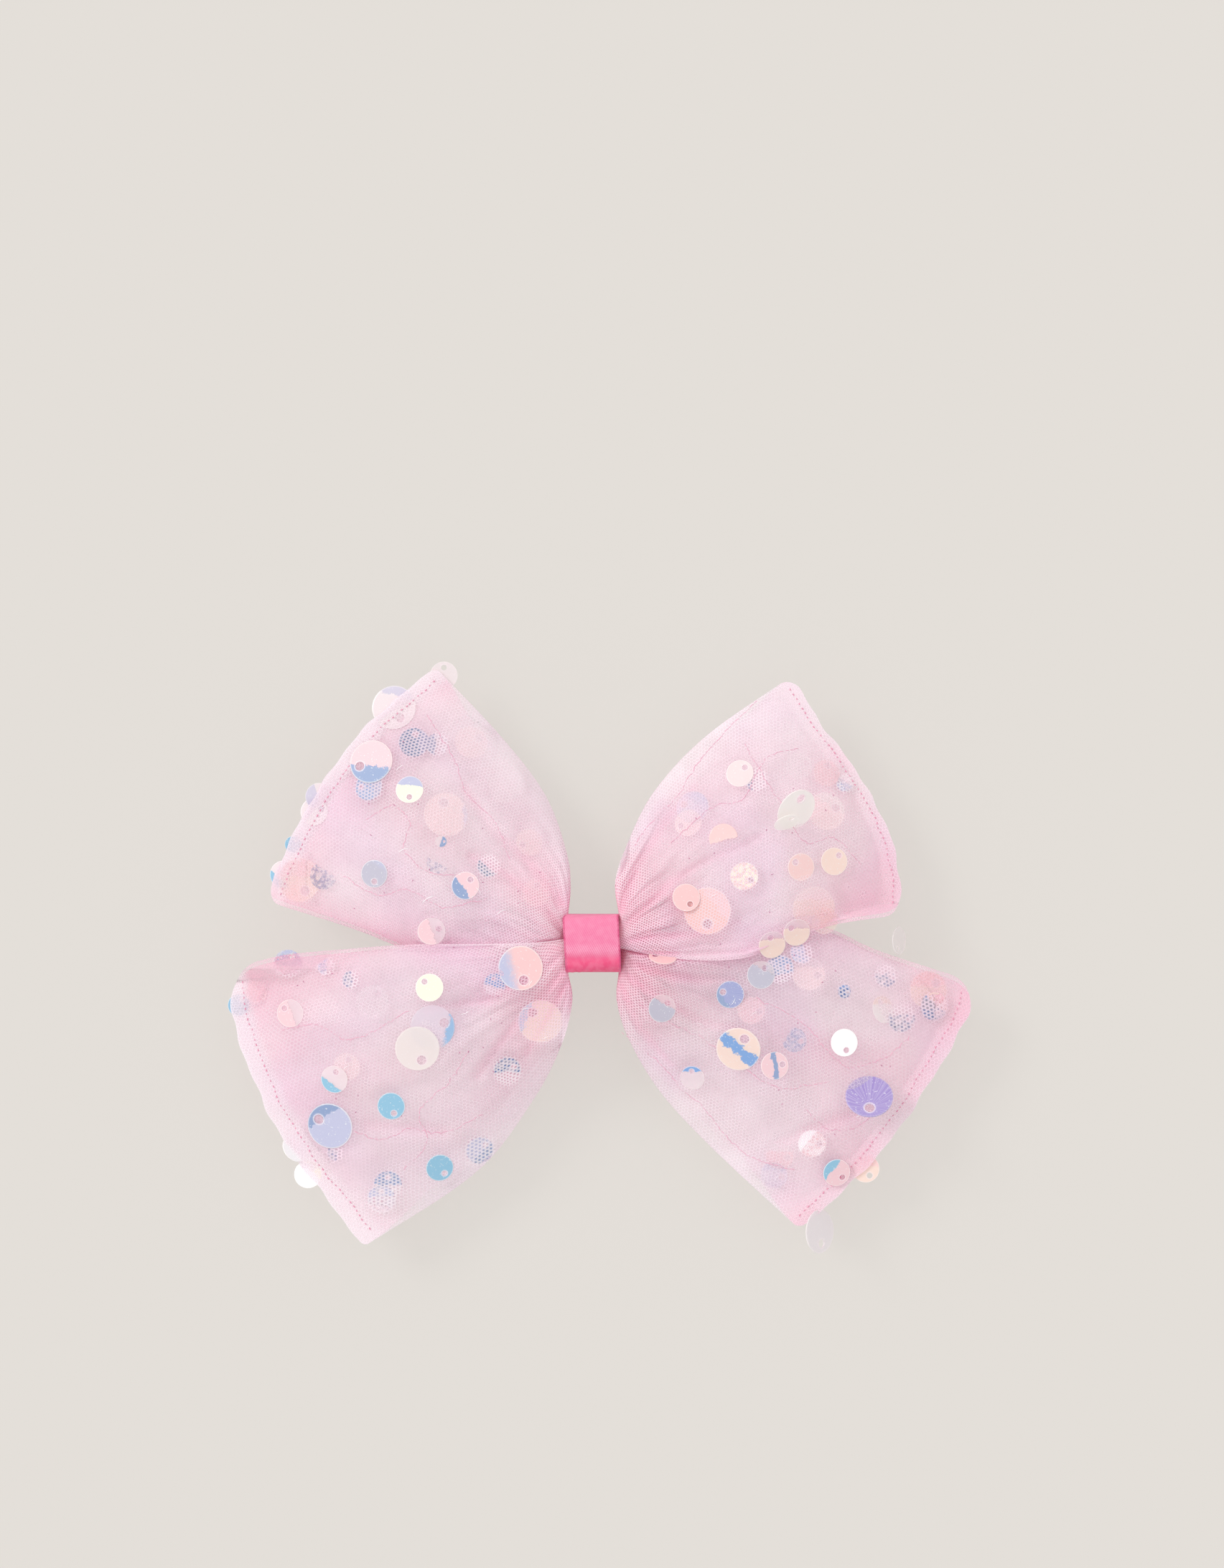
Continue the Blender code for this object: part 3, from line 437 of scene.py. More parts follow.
# %% Where the tulle meets the clip and the other band
clip_low, clip_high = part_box("clip_upper_arm")
table_level = solid_box[0].z
CLIP_MARGIN = 2.0 * MM                 # the cover reaches this far past the arm's sides and ends
COVER_LEVEL = 4.4 * MM                 # over the jaw
COVER_LEVER_RISE = 1.4 * MM            # more over the lever, whose end stands higher
COVER_LEVER_START = -13.4 * MM
COVER_SLOPE = 1.4
MOUTH_SOFTNESS = 1.5 * MM              # either side of the ribbon's edge
LAP_OPENING = 8.0 * MM                 # how far from the ribbon the face takes to slant fully
LOBES_PART = (28.0 * MM, 38.0 * MM)    # from the middle, where a side's two lobes leave each other
LAP_RISE = 0.6 * MM                    # how far the face between the bands climbs from the waist
LAP_SLOPE = 0.35
LAP_END_SLOPE = 2.4                    # past the edge of either band
ROLLED_EDGE = 1.4 * MM                 # width of the front band that the rear gathers lift
ROLLED_RISE = {"left": 2.7 * MM, "right": 1.8 * MM}
REAR_OVERLAP = 4.8 * MM                # how far the rear band runs under the front one


def clip_cover(x, y):
    """Lowest level for tulle: over the clip's arm, or down beside it."""
    beside = np.maximum(np.abs(y) - clip_high.y - CLIP_MARGIN, 0)
    past_jaw = x - clip_high.x - CLIP_MARGIN
    past_lever = clip_low.x - CLIP_MARGIN - x
    beyond = np.maximum(np.maximum(past_jaw, past_lever), 0)
    lever = smoothstep(COVER_LEVER_START, clip_low.x, x)
    top = COVER_LEVEL + COVER_LEVER_RISE * lever
    return np.maximum(top - COVER_SLOPE * np.maximum(beside, beyond), table_level)


def front_crossing(x):
    """How far past the middle line the front band's notch edge lies."""
    left, right = (lobe_lines(lobe)[1] for lobe in BANDS["front"])
    on_left = np.interp(-x, -left[:, 0], left[:, 1])
    on_right = np.interp(x, right[:, 0], -right[:, 1])
    return np.where(x < 0, on_left, on_right)


def lap_plane(x, y):
    """Level of the slanted face between the rear band and the front one."""
    own = -np.sign(x) * y
    out = np.abs(x)
    opening = smoothstep(MOUTH_X, MOUTH_X + LAP_OPENING, out)
    side_by_side = smoothstep(MOUTH_X - MOUTH_SOFTNESS, MOUTH_X + MOUTH_SOFTNESS, out)
    side_by_side = side_by_side * (1 - smoothstep(*LOBES_PART, out))
    to_front = own - front_crossing(x)
    rolled = np.where(x < 0, ROLLED_RISE["left"], ROLLED_RISE["right"])
    climb = np.clip(LAP_END_SLOPE * (to_front + ROLLED_EDGE), 0, rolled)
    climb = climb + LAP_END_SLOPE * np.maximum(to_front, 0)
    level = own - side_by_side * np.maximum(to_front + ROLLED_EDGE, 0)
    past_rear = np.maximum(-own - REAR_OVERLAP, 0)
    plane = LAP_LEVEL + opening * (LAP_RISE + LAP_SLOPE * level - LAP_END_SLOPE * past_rear)
    return plane + side_by_side * climb


across_lap = lap_plane(np.full(3, 10 * MM), np.array([-3.0, 0.0, 3.0]) * MM)
print("between the bands, 10 mm right of the middle:",
      [round(level / MM, 1) for level in across_lap], "mm up")

# %% [markdown]
# The relief on a lobe is of three kinds.  Pleats start in the gathers and fade out, soft creases
# run over the whole face, and a few folds are deep enough to be drawn one by one.  Noise from a
# texture could stand for the first two, but it knows no direction, while tulle creases along its
# threads: so pleats are waves across the lobe, and creases are waves stretched along it.

# %% Pleats and creases
CREASE_WAVES = 26
PLEAT_COUNT = 11
PLEAT_WIDTHS = (0.55, 1.0, 1.45, 1.9)  # shares of the count in each set of waves


def creases(u, v, seed, shortest=5 * MM, longest=24 * MM, stretch=2.2):
    """Soft irregular creases: many gentle waves in random directions, longer along the lobe."""
    draw = np.random.default_rng(seed)
    total = np.zeros(np.broadcast(u, v).shape)
    for _ in range(CREASE_WAVES):
        length = draw.uniform(shortest, longest)
        angle = draw.uniform(0, math.pi)
        phase = draw.uniform(0, math.tau)
        along_wave = math.cos(angle) / stretch * u + math.sin(angle) * v
        total += np.sin(along_wave * math.tau / length + phase)
    return total / math.sqrt(CREASE_WAVES)


def pleats(along, across, seed):
    """Pleats from the gathers: -1 in a valley and 1 on a ridge, uneven in width and reach."""
    draw = np.random.default_rng(seed)
    total = np.zeros(np.broadcast(along, across).shape)
    for width in PLEAT_WIDTHS:
        folds = PLEAT_COUNT * width
        phase = draw.uniform(0, math.tau)
        bend = draw.uniform(-1.3, 1.3)
        reach = draw.uniform(0.35, 0.9)
        share = np.exp(-((along / reach) ** 2) * 2.2)
        total += share * np.cos(math.tau * folds * across + phase + bend * along * math.pi)
    return total / 2


print("pleats across a lobe:", ", ".join(f"{PLEAT_COUNT * share:.0f}" for share in PLEAT_WIDTHS))

# %% [markdown]
# The folds that stand out lie where the cloth was pinched or pulled as the bow was made.  They
# could be carved with a sculpting brush, but a line with a width can be moved later without a mark
# left behind: a point of the cloth sinks by how near it is to the line.

# %% Folds drawn one by one
# the folds that stand out on each face: a half width and a line, in mm
FOLDS = {
    "upper_left": [
        (0.7, [(-5, 2.0), (-10, 7.5), (-16, 12.5), (-22, 15.5)]),
        (0.9, [(-6, 7.0), (-12, 15.0), (-18, 20.0), (-23, 27.5)]),
    ],
    "lower_right": [
        (0.6, [(5, -2.8), (12, -5.4), (19, -6.4), (25, -6.6)]),
        (0.8, [(5, -5.0), (11, -9.5), (19, -14.0), (27, -16.0)]),
        (0.6, [(5, -7.5), (8, -15.0), (14, -22.0)]),
        (1.2, [(34, -36.0), (44, -32.0), (52, -29.0)]),
    ],
    "lower_left": [
        (0.4, [(-4.8, -0.9), (-10.5, -0.5)]),
        (0.7, [(-5, -1.8), (-11, -6.0), (-19, -10.0), (-30, -12.0)]),
        (0.8, [(-5, -4.2), (-10, -10.5), (-16, -17.0), (-21, -24.0)]),
        (0.6, [(-5, -7.0), (-8, -13.0), (-12, -20.0)]),
        (1.2, [(-41, -33.0), (-34, -33.5), (-27, -34.0)]),
    ],
    "upper_right": [
        (0.8, [(5, 2.8), (9, 6.0), (14, 11.0), (20, 14.5), (30, 19.0)]),
        (0.6, [(5, 0.3), (10, 1.2), (18, 1.6), (26, 4.0)]),
        (0.5, [(9, -1.6), (15, -1.7)]),
        (0.9, [(5, 6.0), (8, 14.0), (13, 22.0), (18, 28.0)]),
    ],
}


def distance_to(line, x, y):
    """Distance in plan from every point of a grid to a line through given points."""
    nearest = np.full(x.shape, np.inf)
    for (x0, y0), (x1, y1) in zip(line, line[1:]):
        run_x, run_y = x1 - x0, y1 - y0
        share = ((x - x0) * run_x + (y - y0) * run_y) / (run_x**2 + run_y**2)
        share = np.clip(share, 0, 1)
        nearest = np.minimum(nearest, np.hypot(x - x0 - share * run_x, y - y0 - share * run_y))
    return nearest


def valleys(lobe, x, y):
    """1 along the middle of each fold of a lobe's face, fading to 0 beside it."""
    total = np.zeros(x.shape)
    for width, line in FOLDS[lobe]:
        away = distance_to(np.array(line) * MM, x, y)
        total = np.maximum(total, np.exp(-((away / (width * MM)) ** 2)))
    return total


print(sum(len(lines) for lines in FOLDS.values()), "folds drawn by hand")

# %% [markdown]
# The three kinds add up to a height for each point.  It could be a texture for a Displace
# modifier, but then the cloth's colours couldn't follow it, so the patterns are kept as well.
# Pleats and creases fade towards the sewn end, which lies flat, and folds only cut into the face.

# %% Relief of a lobe
PLEAT_DEPTH = 0.55 * MM
CREASE_DEPTH = 0.55 * MM
FOLD_DEPTH = 0.9 * MM


def lobe_relief(lobe, a, own, face, x, y, seed):
    """Pleats, creases and folds of a lobe as patterns, and the height that they make together."""
    u, v = a * LOBE_LENGTH, own * FLAT_HALF
    pleat = pleats(a, own + 0.02 * creases(u, v, seed + 1), seed)
    pleat = np.where(face, pleat, pleats(a, own, seed + 3))
    pleat_depth = PLEAT_DEPTH * smoothstep(0, 0.30, a) * (1 - 0.8 * smoothstep(0.3, 0.95, a))
    crease = creases(u, v, seed + 2) * np.where(face, 1.0, 0.6)
    crease_depth = CREASE_DEPTH * smoothstep(0.05, 0.35, a) * (1 - 0.7 * smoothstep(0.8, 0.97, a))
    fold = valleys(lobe, x, y) * face
    height = pleat_depth * pleat + crease_depth * crease
    height = height - FOLD_DEPTH * fold * smoothstep(0, 0.12, a)
    return pleat, crease, fold, height


print("folds are", round(FOLD_DEPTH / MM, 2), "mm deep, pleats", round(PLEAT_DEPTH / MM, 2), "mm")

# %% [markdown]
# One function gives a whole lobe as a grid: rows run out from the knot and columns run round the
# tube, over its face to the notch edge and back underneath.  Modelling only the face would be
# easier, but light should pass as many layers of net as in a lined tube.  The same function makes
# the pinker lining, a narrower tube inside the first that stops short of the inner edge, which is
# why that edge looks whiter.

# %% Shape of a lobe
ROWS = 132
COLUMNS = 96
ALONG = np.linspace(0, 1, ROWS + 1) ** 1.15     # rows lie closer together near the knot
LINING_DROP = 0.85 * MM                # of its face below the outer one, besides being thinner
LINING_INSET = 0.05                    # share of the width that it stops short of the inner edge
LINING_INSET_SPAN = (0.02, 0.45, 0.72, 0.97)   # shares of the length: starts, full, fades, ends
LINING_EDGE = 0.985                    # share of the width where its notch edge lies
LINING_THICKNESS = 0.80                # of the outer tube's
ROUNDNESS = (0.35, 0.40)               # power of the section at the knot, and what opening adds
SKIN = 0.12 * MM                       # least gap between layers that are pressed together


def tube_shares():
    """Share across the lobe for each column round the tube, closer together at the folds."""
    face = (1 - np.cos(np.linspace(0, math.pi, COLUMNS + 1))) / 2
    return np.concatenate([face, face[-2:0:-1]])


def kept_apart(band, x, y, z, side, skin):
    """Heights held over the clip's cover and on the band's own side of the slanted face."""
    lowest = clip_cover(x, y)
    lowest[0] = WAIST_BASE
    if band == "front":
        lowest = np.maximum(lowest, lap_plane(x, y) + BETWEEN_BANDS)
        return np.maximum(z, lowest + np.where(side > 0, 3, 1) * skin)
    z = np.maximum(z, lowest + skin)
    highest = lap_plane(x, y) - BETWEEN_BANDS
    return np.minimum(z, highest - np.where(side > 0, 1, 3) * skin)


def lobe_shape(band, lobe, lining):
    """Points of one lobe as a grid, the width of each row, and the patterns on the grid."""
    face = (np.arange(2 * COLUMNS) <= COLUMNS)[None, :]
    side = np.where(face, 1.0, -1.0)
    a, own = np.broadcast_arrays(ALONG[:, None], tube_shares()[None, :])
    starts, full, fades, ends = LINING_INSET_SPAN
    inset = LINING_INSET * smoothstep(starts, full, a) * (1 - smoothstep(fades, ends, a))
    across = inset + (LINING_EDGE - inset) * own if lining else own
    plan = lobe_plan(lobe, a, across)
    x, y = plan[..., 0], plan[..., 1]
    seed = 10 * sorted(LOBES).index(lobe) + (5 if lining else 0)
    pleat, crease, fold, relief = lobe_relief(lobe, a, own, face, x, y, seed)
    opened = smoothstep(0, OPEN_AT, a)
    bulge = np.clip(1 - (2 * own - 1) ** 2, 0, 1) ** (ROUNDNESS[0] + ROUNDNESS[1] * opened)
    thickness = half_thickness(a) * (LINING_THICKNESS if lining else 1.0)
    z = middle_level(band, a, across) + side * bulge * thickness + bulge * relief
    if lining:
        z = z - face * LINING_DROP * opened
    skin = SKIN * bulge * (2 if lining else 1)
    points = np.dstack([x, y, kept_apart(band, x, y, z, side, skin)])
    step = np.linalg.norm(np.diff(points, axis=1), axis=2)
    width = step[:, :COLUMNS].sum(axis=1)
    patterns = {"a": a, "own": own, "across": across, "pleat": pleat, "crease": crease,
                "fold": fold, "seed": seed}
    return points, width, patterns


points = lobe_shape("front", "upper_right", lining=False)[0]
print("a lobe has", ROWS + 1, "rows of", 2 * COLUMNS, "points; the upper right one is",
      f"{(points[..., 2].max() - table_level) / MM:.1f} mm high")

# %% [markdown]
# Each point also gets five values for the cloth's shader: how much the net is crowded, how much it
# blushes, how white it is past the stitches, how milky it is, and how far its cells are spread
# open.  They could be painted by hand as vertex colours.  Worked out from the same shares as the
# shape, they stay with the folds and edges that cause them: net is crowded where a row is narrower
# than the flat cloth, and it is pinkest where its layers meet at the knot.  Along the folds drawn
# one by one the net is made more crowded and pinker, partly for the layers stacked there and
# partly as painted shade, and in the crevice where the bands cross beside the knot the pink is
# taken out, as painted light against the shade there.

# %% Cloth values of a lobe
MOST_CROWDED = {"tulle": 1.8, "lining": 5.0}
# how deep the pink is at the knot, in the outer net of each lobe
KNOT_BLUSH = {"upper_left": 0.50, "lower_left": 0.62, "upper_right": 0.76, "lower_right": 0.66}
LINING_BLUSH = 0.95
# how much of it comes back towards the stitching
SEAM_BLUSH = {"upper_left": 0.20, "lower_left": 0.15, "upper_right": 0.05, "lower_right": 0.18}
# how much whiter (above 0) or pinker (below 0) the strip past the stitching is
SEAM_LOOKS = {"upper_left": 0.26, "lower_left": 0.42, "upper_right": 0.0, "lower_right": -0.08}
# share of a lobe's width over which the white of its inner edge fades
RIM_WIDTH = {"upper_left": 0.24, "lower_left": 0.24, "upper_right": 0.17, "lower_right": 0.18}
# how far the net's cells are spread open beside the knot
OPEN_NET = {"upper_left": 0.45, "lower_left": 0.45, "upper_right": 0.9, "lower_right": 0.7}
# share of each lobe's length where the stitches run
STITCHED_AT = {"upper_left": 0.960, "lower_left": 0.957, "upper_right": 0.974,
               "lower_right": 0.966}
HEM_BLEND = (0.035, 0.012)             # shares before and after the stitches where the hem begins


def cloth_values(lobe, lining, width, a, own, across, pleat, crease, fold, seed):
    """What the cloth's shader reads at each point of a lobe, by name."""
    most = MOST_CROWDED["lining" if lining else "tulle"]
    squeezed = np.clip(FLAT_HALF / np.maximum(width, MM), 1, most)[:, None]
    u, v = a * LOBE_LENGTH, own * FLAT_HALF
    cloud = creases(u, v, seed + 4, longest=45 * MM, shortest=12 * MM, stretch=1.5)
    stitched_at = STITCHED_AT[lobe]
    near_knot = 1 - smoothstep(0.0, 0.5, a)
    near_seam = smoothstep(0.72, stitched_at, a)
    near_notch = smoothstep(0.70, 1.0, across)
    past_stitches = smoothstep(stitched_at - HEM_BLEND[0], stitched_at + HEM_BLEND[1], a)
    hem = past_stitches * SEAM_LOOKS[lobe]
    inner_rim = 1 - smoothstep(0.02, RIM_WIDTH[lobe], across)
    inner_rim = inner_rim * smoothstep(0.0, 0.26, a) * (1 - near_seam)
    # painted light: beside the knot, where the bands cross, the pink is taken out of the crevice
    # against its shade
    crevice_painted_light = near_notch * (1 - smoothstep(0.30, 0.55, a))
    edge = smoothstep(0.95, 1.0, np.abs(2 * across - 1)) * smoothstep(0.2, 0.5, a)
    edge = edge * (1 - crevice_painted_light)
    # fold valleys crowd the net, partly for the layers stacked there and partly as painted shade
    crowd = squeezed * (1 + 0.20 * pleat * near_knot) + 0.10 * crease + 0.5 * fold
    if lining:
        crowd = crowd * (1 - 0.75 * inner_rim) + 0.3 * near_seam
    else:
        crowd = crowd + 0.25 * past_stitches + 0.5 * edge
    blush = (LINING_BLUSH if lining else KNOT_BLUSH[lobe]) * near_knot + 0.30 * near_notch
    blush = blush + SEAM_BLUSH[lobe] * near_seam
    blush = (blush + 0.14 * cloud + 0.06 * crease) * (1 - 0.85 * inner_rim) * (1 - 0.75 * crevice_painted_light)
    # fold valleys are pinker: painted shade, with some real crowding of the net
    blush = blush + 0.30 * fold + 0.35 * edge * near_notch - hem
    return {
        "crowd": np.clip(crowd, 0.2, 7.0),
        "blush": np.clip(blush, 0, 1),
        "hem": np.clip(hem, 0, 1),
        "milk": np.clip(inner_rim + 0.8 * hem, 0, 1),
        "bare": OPEN_NET[lobe] * (1 - smoothstep(0.10, 0.38, a)),
    }


def lobe_grid(band, lobe, lining=False):
    """Points of one lobe as a grid, its cloth values, and the width of each row."""
    points, width, patterns = lobe_shape(band, lobe, lining)
    return points, cloth_values(lobe, lining, width, **patterns), width


crowd = lobe_grid("front", "upper_right")[1]["crowd"]
print(f"net in the upper right lobe is crowded {crowd.min():.1f} to {crowd.max():.1f} times")

# %% [markdown]
# Two lobes and the gathered waist between them make one mesh.  It could be unwrapped with
# Blender's tools, but they know nothing of how the cloth was cut.  The map is written together
# with the faces instead, in metres of flat cloth, lengthwise and round the tube, so a pattern
# drawn on it is squeezed in the gathers as real net is.

# %% Bands from two lobes
NET_FOLLOWS_GATHERS = 0.85             # 1 keeps cells as wide in the gathers, 0 squeezes them
STRETCH_REACH = 16.0 * MM
KNOT_STRETCH = 0.38 * STRETCH_REACH    # the pull of the gathers makes the first cells longer


def band_mesh(name, band, lining=False):
    """One tube of tulle through both lobes; the left lobe's rows are turned round to start it."""
    left, right = (lobe_grid(band, lobe, lining) for lobe in BANDS[band])
    turn = [*range(COLUMNS, -1, -1), *range(2 * COLUMNS - 1, COLUMNS, -1)]
    grid = np.concatenate([left[0][::-1], right[0][:, turn]])
    rows, ring = grid.shape[:2]
    reach = ALONG * LOBE_LENGTH + MOUTH_X
    reach = reach - KNOT_STRETCH * (1 - np.exp(-reach / STRETCH_REACH))
    reach = np.concatenate([-reach[::-1], reach])
    widths = np.concatenate([left[2][::-1], right[2]])
    widths = NET_FOLLOWS_GATHERS * widths + (1 - NET_FOLLOWS_GATHERS) * FLAT_HALF
    shares = tube_shares()
    round_tube = np.concatenate([shares[:COLUMNS + 1], 2 - shares[COLUMNS + 1:], [2]]) - 0.5
    flat = np.dstack(np.broadcast_arrays(reach[:, None], widths[:, None] * round_tube))
    faces, corners = [], []
    for row in range(rows - 1):
        for column in range(ring):
            after = (column + 1) % ring
            faces.append((row * ring + column, row * ring + after,
                          (row + 1) * ring + after, (row + 1) * ring + column))
            corners += [flat[row, column], flat[row, column + 1],
                        flat[row + 1, column + 1], flat[row + 1, column]]
    mesh = bpy.data.meshes.new(name)
    mesh.from_pydata(grid.reshape(-1, 3).tolist(), [], faces)
    layer = mesh.uv_layers.new(name="cloth")
    layer.uv.foreach_set("vector", np.array(corners, np.float32).ravel())
    for key in left[1]:
        value = np.concatenate([left[1][key][::-1], right[1][key][:, turn]])
        field = mesh.attributes.new(key, "FLOAT", "POINT")
        field.data.foreach_set("value", value.astype(np.float32).ravel())
    mesh.shade_smooth()
    return mesh


print("a band's mesh has", 2 * (ROWS + 1), "rows of", 2 * COLUMNS, "points")

# %% [markdown]
# Each band has an outer tube of pale tulle and a pinker lining, so there are four tubes.  A
# Solidify modifier could give them walls, but a net has no thickness to see, so they are thin
# sheets, closed round their section.  A sheet still has an outside, so its faces are turned over
# if they came out looking in.

# %% The four tubes
UPPERMOST = 200                        # how many faces tell which way a mesh is turned


def upright(mesh):
    """Turn the faces over if the uppermost ones look down."""
    top = sorted(mesh.polygons, key=lambda face: -face.center.z)[:UPPERMOST]
    if sum(face.normal.z for face in top) < 0:
        mesh.flip_normals()


tulle = {}
for band in BANDS:
    for layer in ("tulle", "lining"):
        name = f"{band}_{layer}"
        mesh = band_mesh(name, band, lining=layer == "lining")
        upright(mesh)
        piece = bpy.data.objects.new(name, mesh)
        scene.collection.objects.link(piece)
        tulle[name] = piece

# %% [markdown]
# Tulle is a knitted net of hexagonal cells under a millimetre wide.  Modelling the threads would
# take millions of faces, so the net is a pattern in the material, read from the cloth's map.  Two
# staggered grids of points are the middles of the cells; the nearer point decides which cell a
# place is in, and the distance from it, measured square to the cell's sides, says where the
# threads run.

# %% Pattern of the net
NET_PITCH = 0.66 * MM
SLANT = (0.5, math.sqrt(3) / 2)        # across a slanted side; also the step between the two grids


def scale_by(tree, vector, factor):
    scaled = vector_calc(tree, "SCALE", vector)
    scaled.node.inputs["Scale"].default_value = factor
    return scaled


def hex_edge(tree, place, pitch):
    """Distance from the middle of a hexagonal cell, 0.5 on its sides, from two staggered grids."""
    scaled = scale_by(tree, place, 1 / pitch)
    half_cell = (*SLANT, 1.0)
    minus = tuple(-value for value in half_cell)
    one = vector_calc(tree, "WRAP", scaled, half_cell, minus)
    shifted = vector_calc(tree, "ADD", scaled, (*SLANT, 0.0))
    other = vector_calc(tree, "WRAP", shifted, half_cell, minus)
    closer = calc(tree, "LESS_THAN", vector_calc(tree, "LENGTH", one),
                  vector_calc(tree, "LENGTH", other))
    cell = vector_calc(tree, "ABSOLUTE", blend_colour(tree, closer, other, one))
    slanted = vector_calc(tree, "DOT_PRODUCT", cell, (*SLANT, 0.0))
    straight = put(tree, "ShaderNodeSeparateXYZ", {0: cell}).outputs["X"]
    return calc(tree, "MAXIMUM", slanted, straight)


print(f"the flat cloth has {2 * FLAT_HALF / NET_PITCH:.0f} cells round it")

# %% [markdown]
# A thread of the net is nearly opaque and its cells are hazy, and where the cloth is crowded into
# folds several layers stack up.  The layers could each be modelled, but a fold has dozens.  Light
# that passes one layer with share t passes n layers with share t to the power n, so the shader
# takes a single layer's cover and raises what it lets through to the crowding.  Colour then runs
# from pale to deep pink with the blush, goes lilac in patches and white at the sewn edge, and some
# light comes through from behind, as in all thin cloth.

# %% Material of the tulle
THREAD_EDGE = (0.31, 0.45)      # distances in cells between which a fine thread begins
TAUT_EDGE = (0.20, 0.34)        # the same where the net lies taut and its threads spread
TAUT_THREAD = 0.85              # how solid a taut thread looks
MOST_COVER = 0.97               # of one layer
# colours, haze in the cells, haze at the inner edge, and how solid a fine thread looks
TULLE_LOOKS = {
    "tulle": {"pale": (1.0, 0.92, 0.955, 1), "deep": (1.0, 0.70, 0.81, 1), "haze": 0.22,
              "milky": 0.60, "thread": 0.26},
    "lining": {"pale": (1.0, 0.89, 0.94, 1), "deep": (1.0, 0.54, 0.68, 1), "haze": 0.50,
               "milky": 0.62, "thread": 0.10},
}
HEM_WHITE = (1.0, 0.95, 0.97, 1)
LILAC = (0.95, 0.88, 0.985, 1)
TRANSLUCENCE = 0.28
# noise scales, per metre of cloth: 220 makes patches of about 5 mm, 45 of about 20 mm
WANDER_SCALE = 220.0
HAZE_SCALE = 110.0
TINGE_SCALE = 45.0
NET_WANDER = 0.6 * MM           # how far the rows of the net stray
UNEVEN_HAZE = (0.75, 1.25)
HAZE_WHERE_BARE = 0.15


def make_tulle_material(name, look):
    material, tree, shader = new_material(name, Roughness=0.8, Specular_IOR_Level=0.15)
    place = put(tree, "ShaderNodeUVMap", uv_map="cloth").outputs[0]
    wander = put(tree, "ShaderNodeTexNoise", {
        "Vector": place, "Scale": WANDER_SCALE, "Detail": 1.0})
    drift = vector_calc(tree, "SUBTRACT", wander.outputs["Color"], (0.5, 0.5, 0.5))
    drift = scale_by(tree, drift, NET_WANDER)
    edge = hex_edge(tree, vector_calc(tree, "ADD", place, drift), NET_PITCH)
    cloud = noise(tree, place, HAZE_SCALE, 4.0, 0.6)
    bare = attribute(tree, "bare")
    haze = ramp(tree, attribute(tree, "milk"), 0, 1, look["haze"], look["milky"], smooth=False)
    haze = calc(tree, "MULTIPLY", haze, ramp(tree, cloud, 0.3, 0.7, *UNEVEN_HAZE))
    thinned = ramp(tree, bare, 0, 1, 1.0, HAZE_WHERE_BARE, smooth=False)
    haze = calc(tree, "MULTIPLY", haze, thinned)
    fine = calc(tree, "MULTIPLY", ramp(tree, edge, *THREAD_EDGE), look["thread"])
    taut = calc(tree, "MULTIPLY", ramp(tree, edge, *TAUT_EDGE), TAUT_THREAD)
    threads = put(tree, "ShaderNodeMix", {0: bare, 2: fine, 3: taut}).outputs[0]
    single = calc(tree, "MINIMUM", calc(tree, "ADD", haze, threads), MOST_COVER)
    passes = calc(tree, "POWER", calc(tree, "SUBTRACT", 1.0, single), attribute(tree, "crowd"))
    cover = calc(tree, "SUBTRACT", 1.0, passes)
    colour = blend_colour(tree, attribute(tree, "blush"), look["pale"], look["deep"])
    tinge = ramp(tree, noise(tree, place, TINGE_SCALE), 0.42, 0.68, 0.0, 0.45)
    colour = blend_colour(tree, tinge, colour, vector_calc(tree, "MULTIPLY", colour, LILAC[:3]))
    colour = blend_colour(tree, attribute(tree, "hem"), colour, HEM_WHITE)
    tree.links.new(colour, shader.inputs["Base Color"])
    through = put(tree, "ShaderNodeBsdfTranslucent", {"Color": colour}).outputs[0]
    clear = put(tree, "ShaderNodeBsdfTransparent").outputs[0]
    thread = put(tree, "ShaderNodeMixShader", {
        0: TRANSLUCENCE, 1: shader.outputs[0], 2: through})
    cloth = put(tree, "ShaderNodeMixShader", {0: cover, 1: clear, 2: thread.outputs[0]})
    tree.links.new(cloth.outputs[0], tree.nodes["Material Output"].inputs["Surface"])
    return material


for name, piece in tulle.items():
    piece.data.materials.append(make_tulle_material(name, TULLE_LOOKS[name.split("_")[1]]))
print("tulle material:", len(piece.data.materials[0].node_tree.nodes), "nodes")

# %% [markdown]
# Each tube was cut as a rectangle, trimmed at its ends to the slant of the lobes, sewn shut and
# gathered, the lining from a narrower one.  Gathers hide how much cloth is in them.  All four move
# with the bow, which the clip carries.

# %% Tulle on the bow
for name, piece in tulle.items():
    band, layer = name.split("_")
    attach(piece, "bow")
    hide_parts(f"{band}_band")
print("tulle on", ", ".join(tulle))

# %% [markdown]
# A sequin is a round of pearly film with a hole near its edge.  A disc with a boolean hole would
# do, but its faces come out ragged.  Here rings of points run from the edge to the hole, drifting
# sideways on the way, over the top and back underneath, so the shell is closed and its faces are
# even.  The blank is 1 wide, and each copy is scaled to its size.

# %% Sequin blank
SEQUIN_STEPS = 26
HOLE_OFFSET = 0.28                    # from the centre, in diameters
HOLE_RADIUS = 0.105
FILM_THICKNESS = 0.035
EDGE_THICKNESS = 0.6                  # of the film's, so that the edge is a little rounded
RING_SHARES = (0.0, 0.05, 0.5, 1.0)   # of the way from the edge to the hole


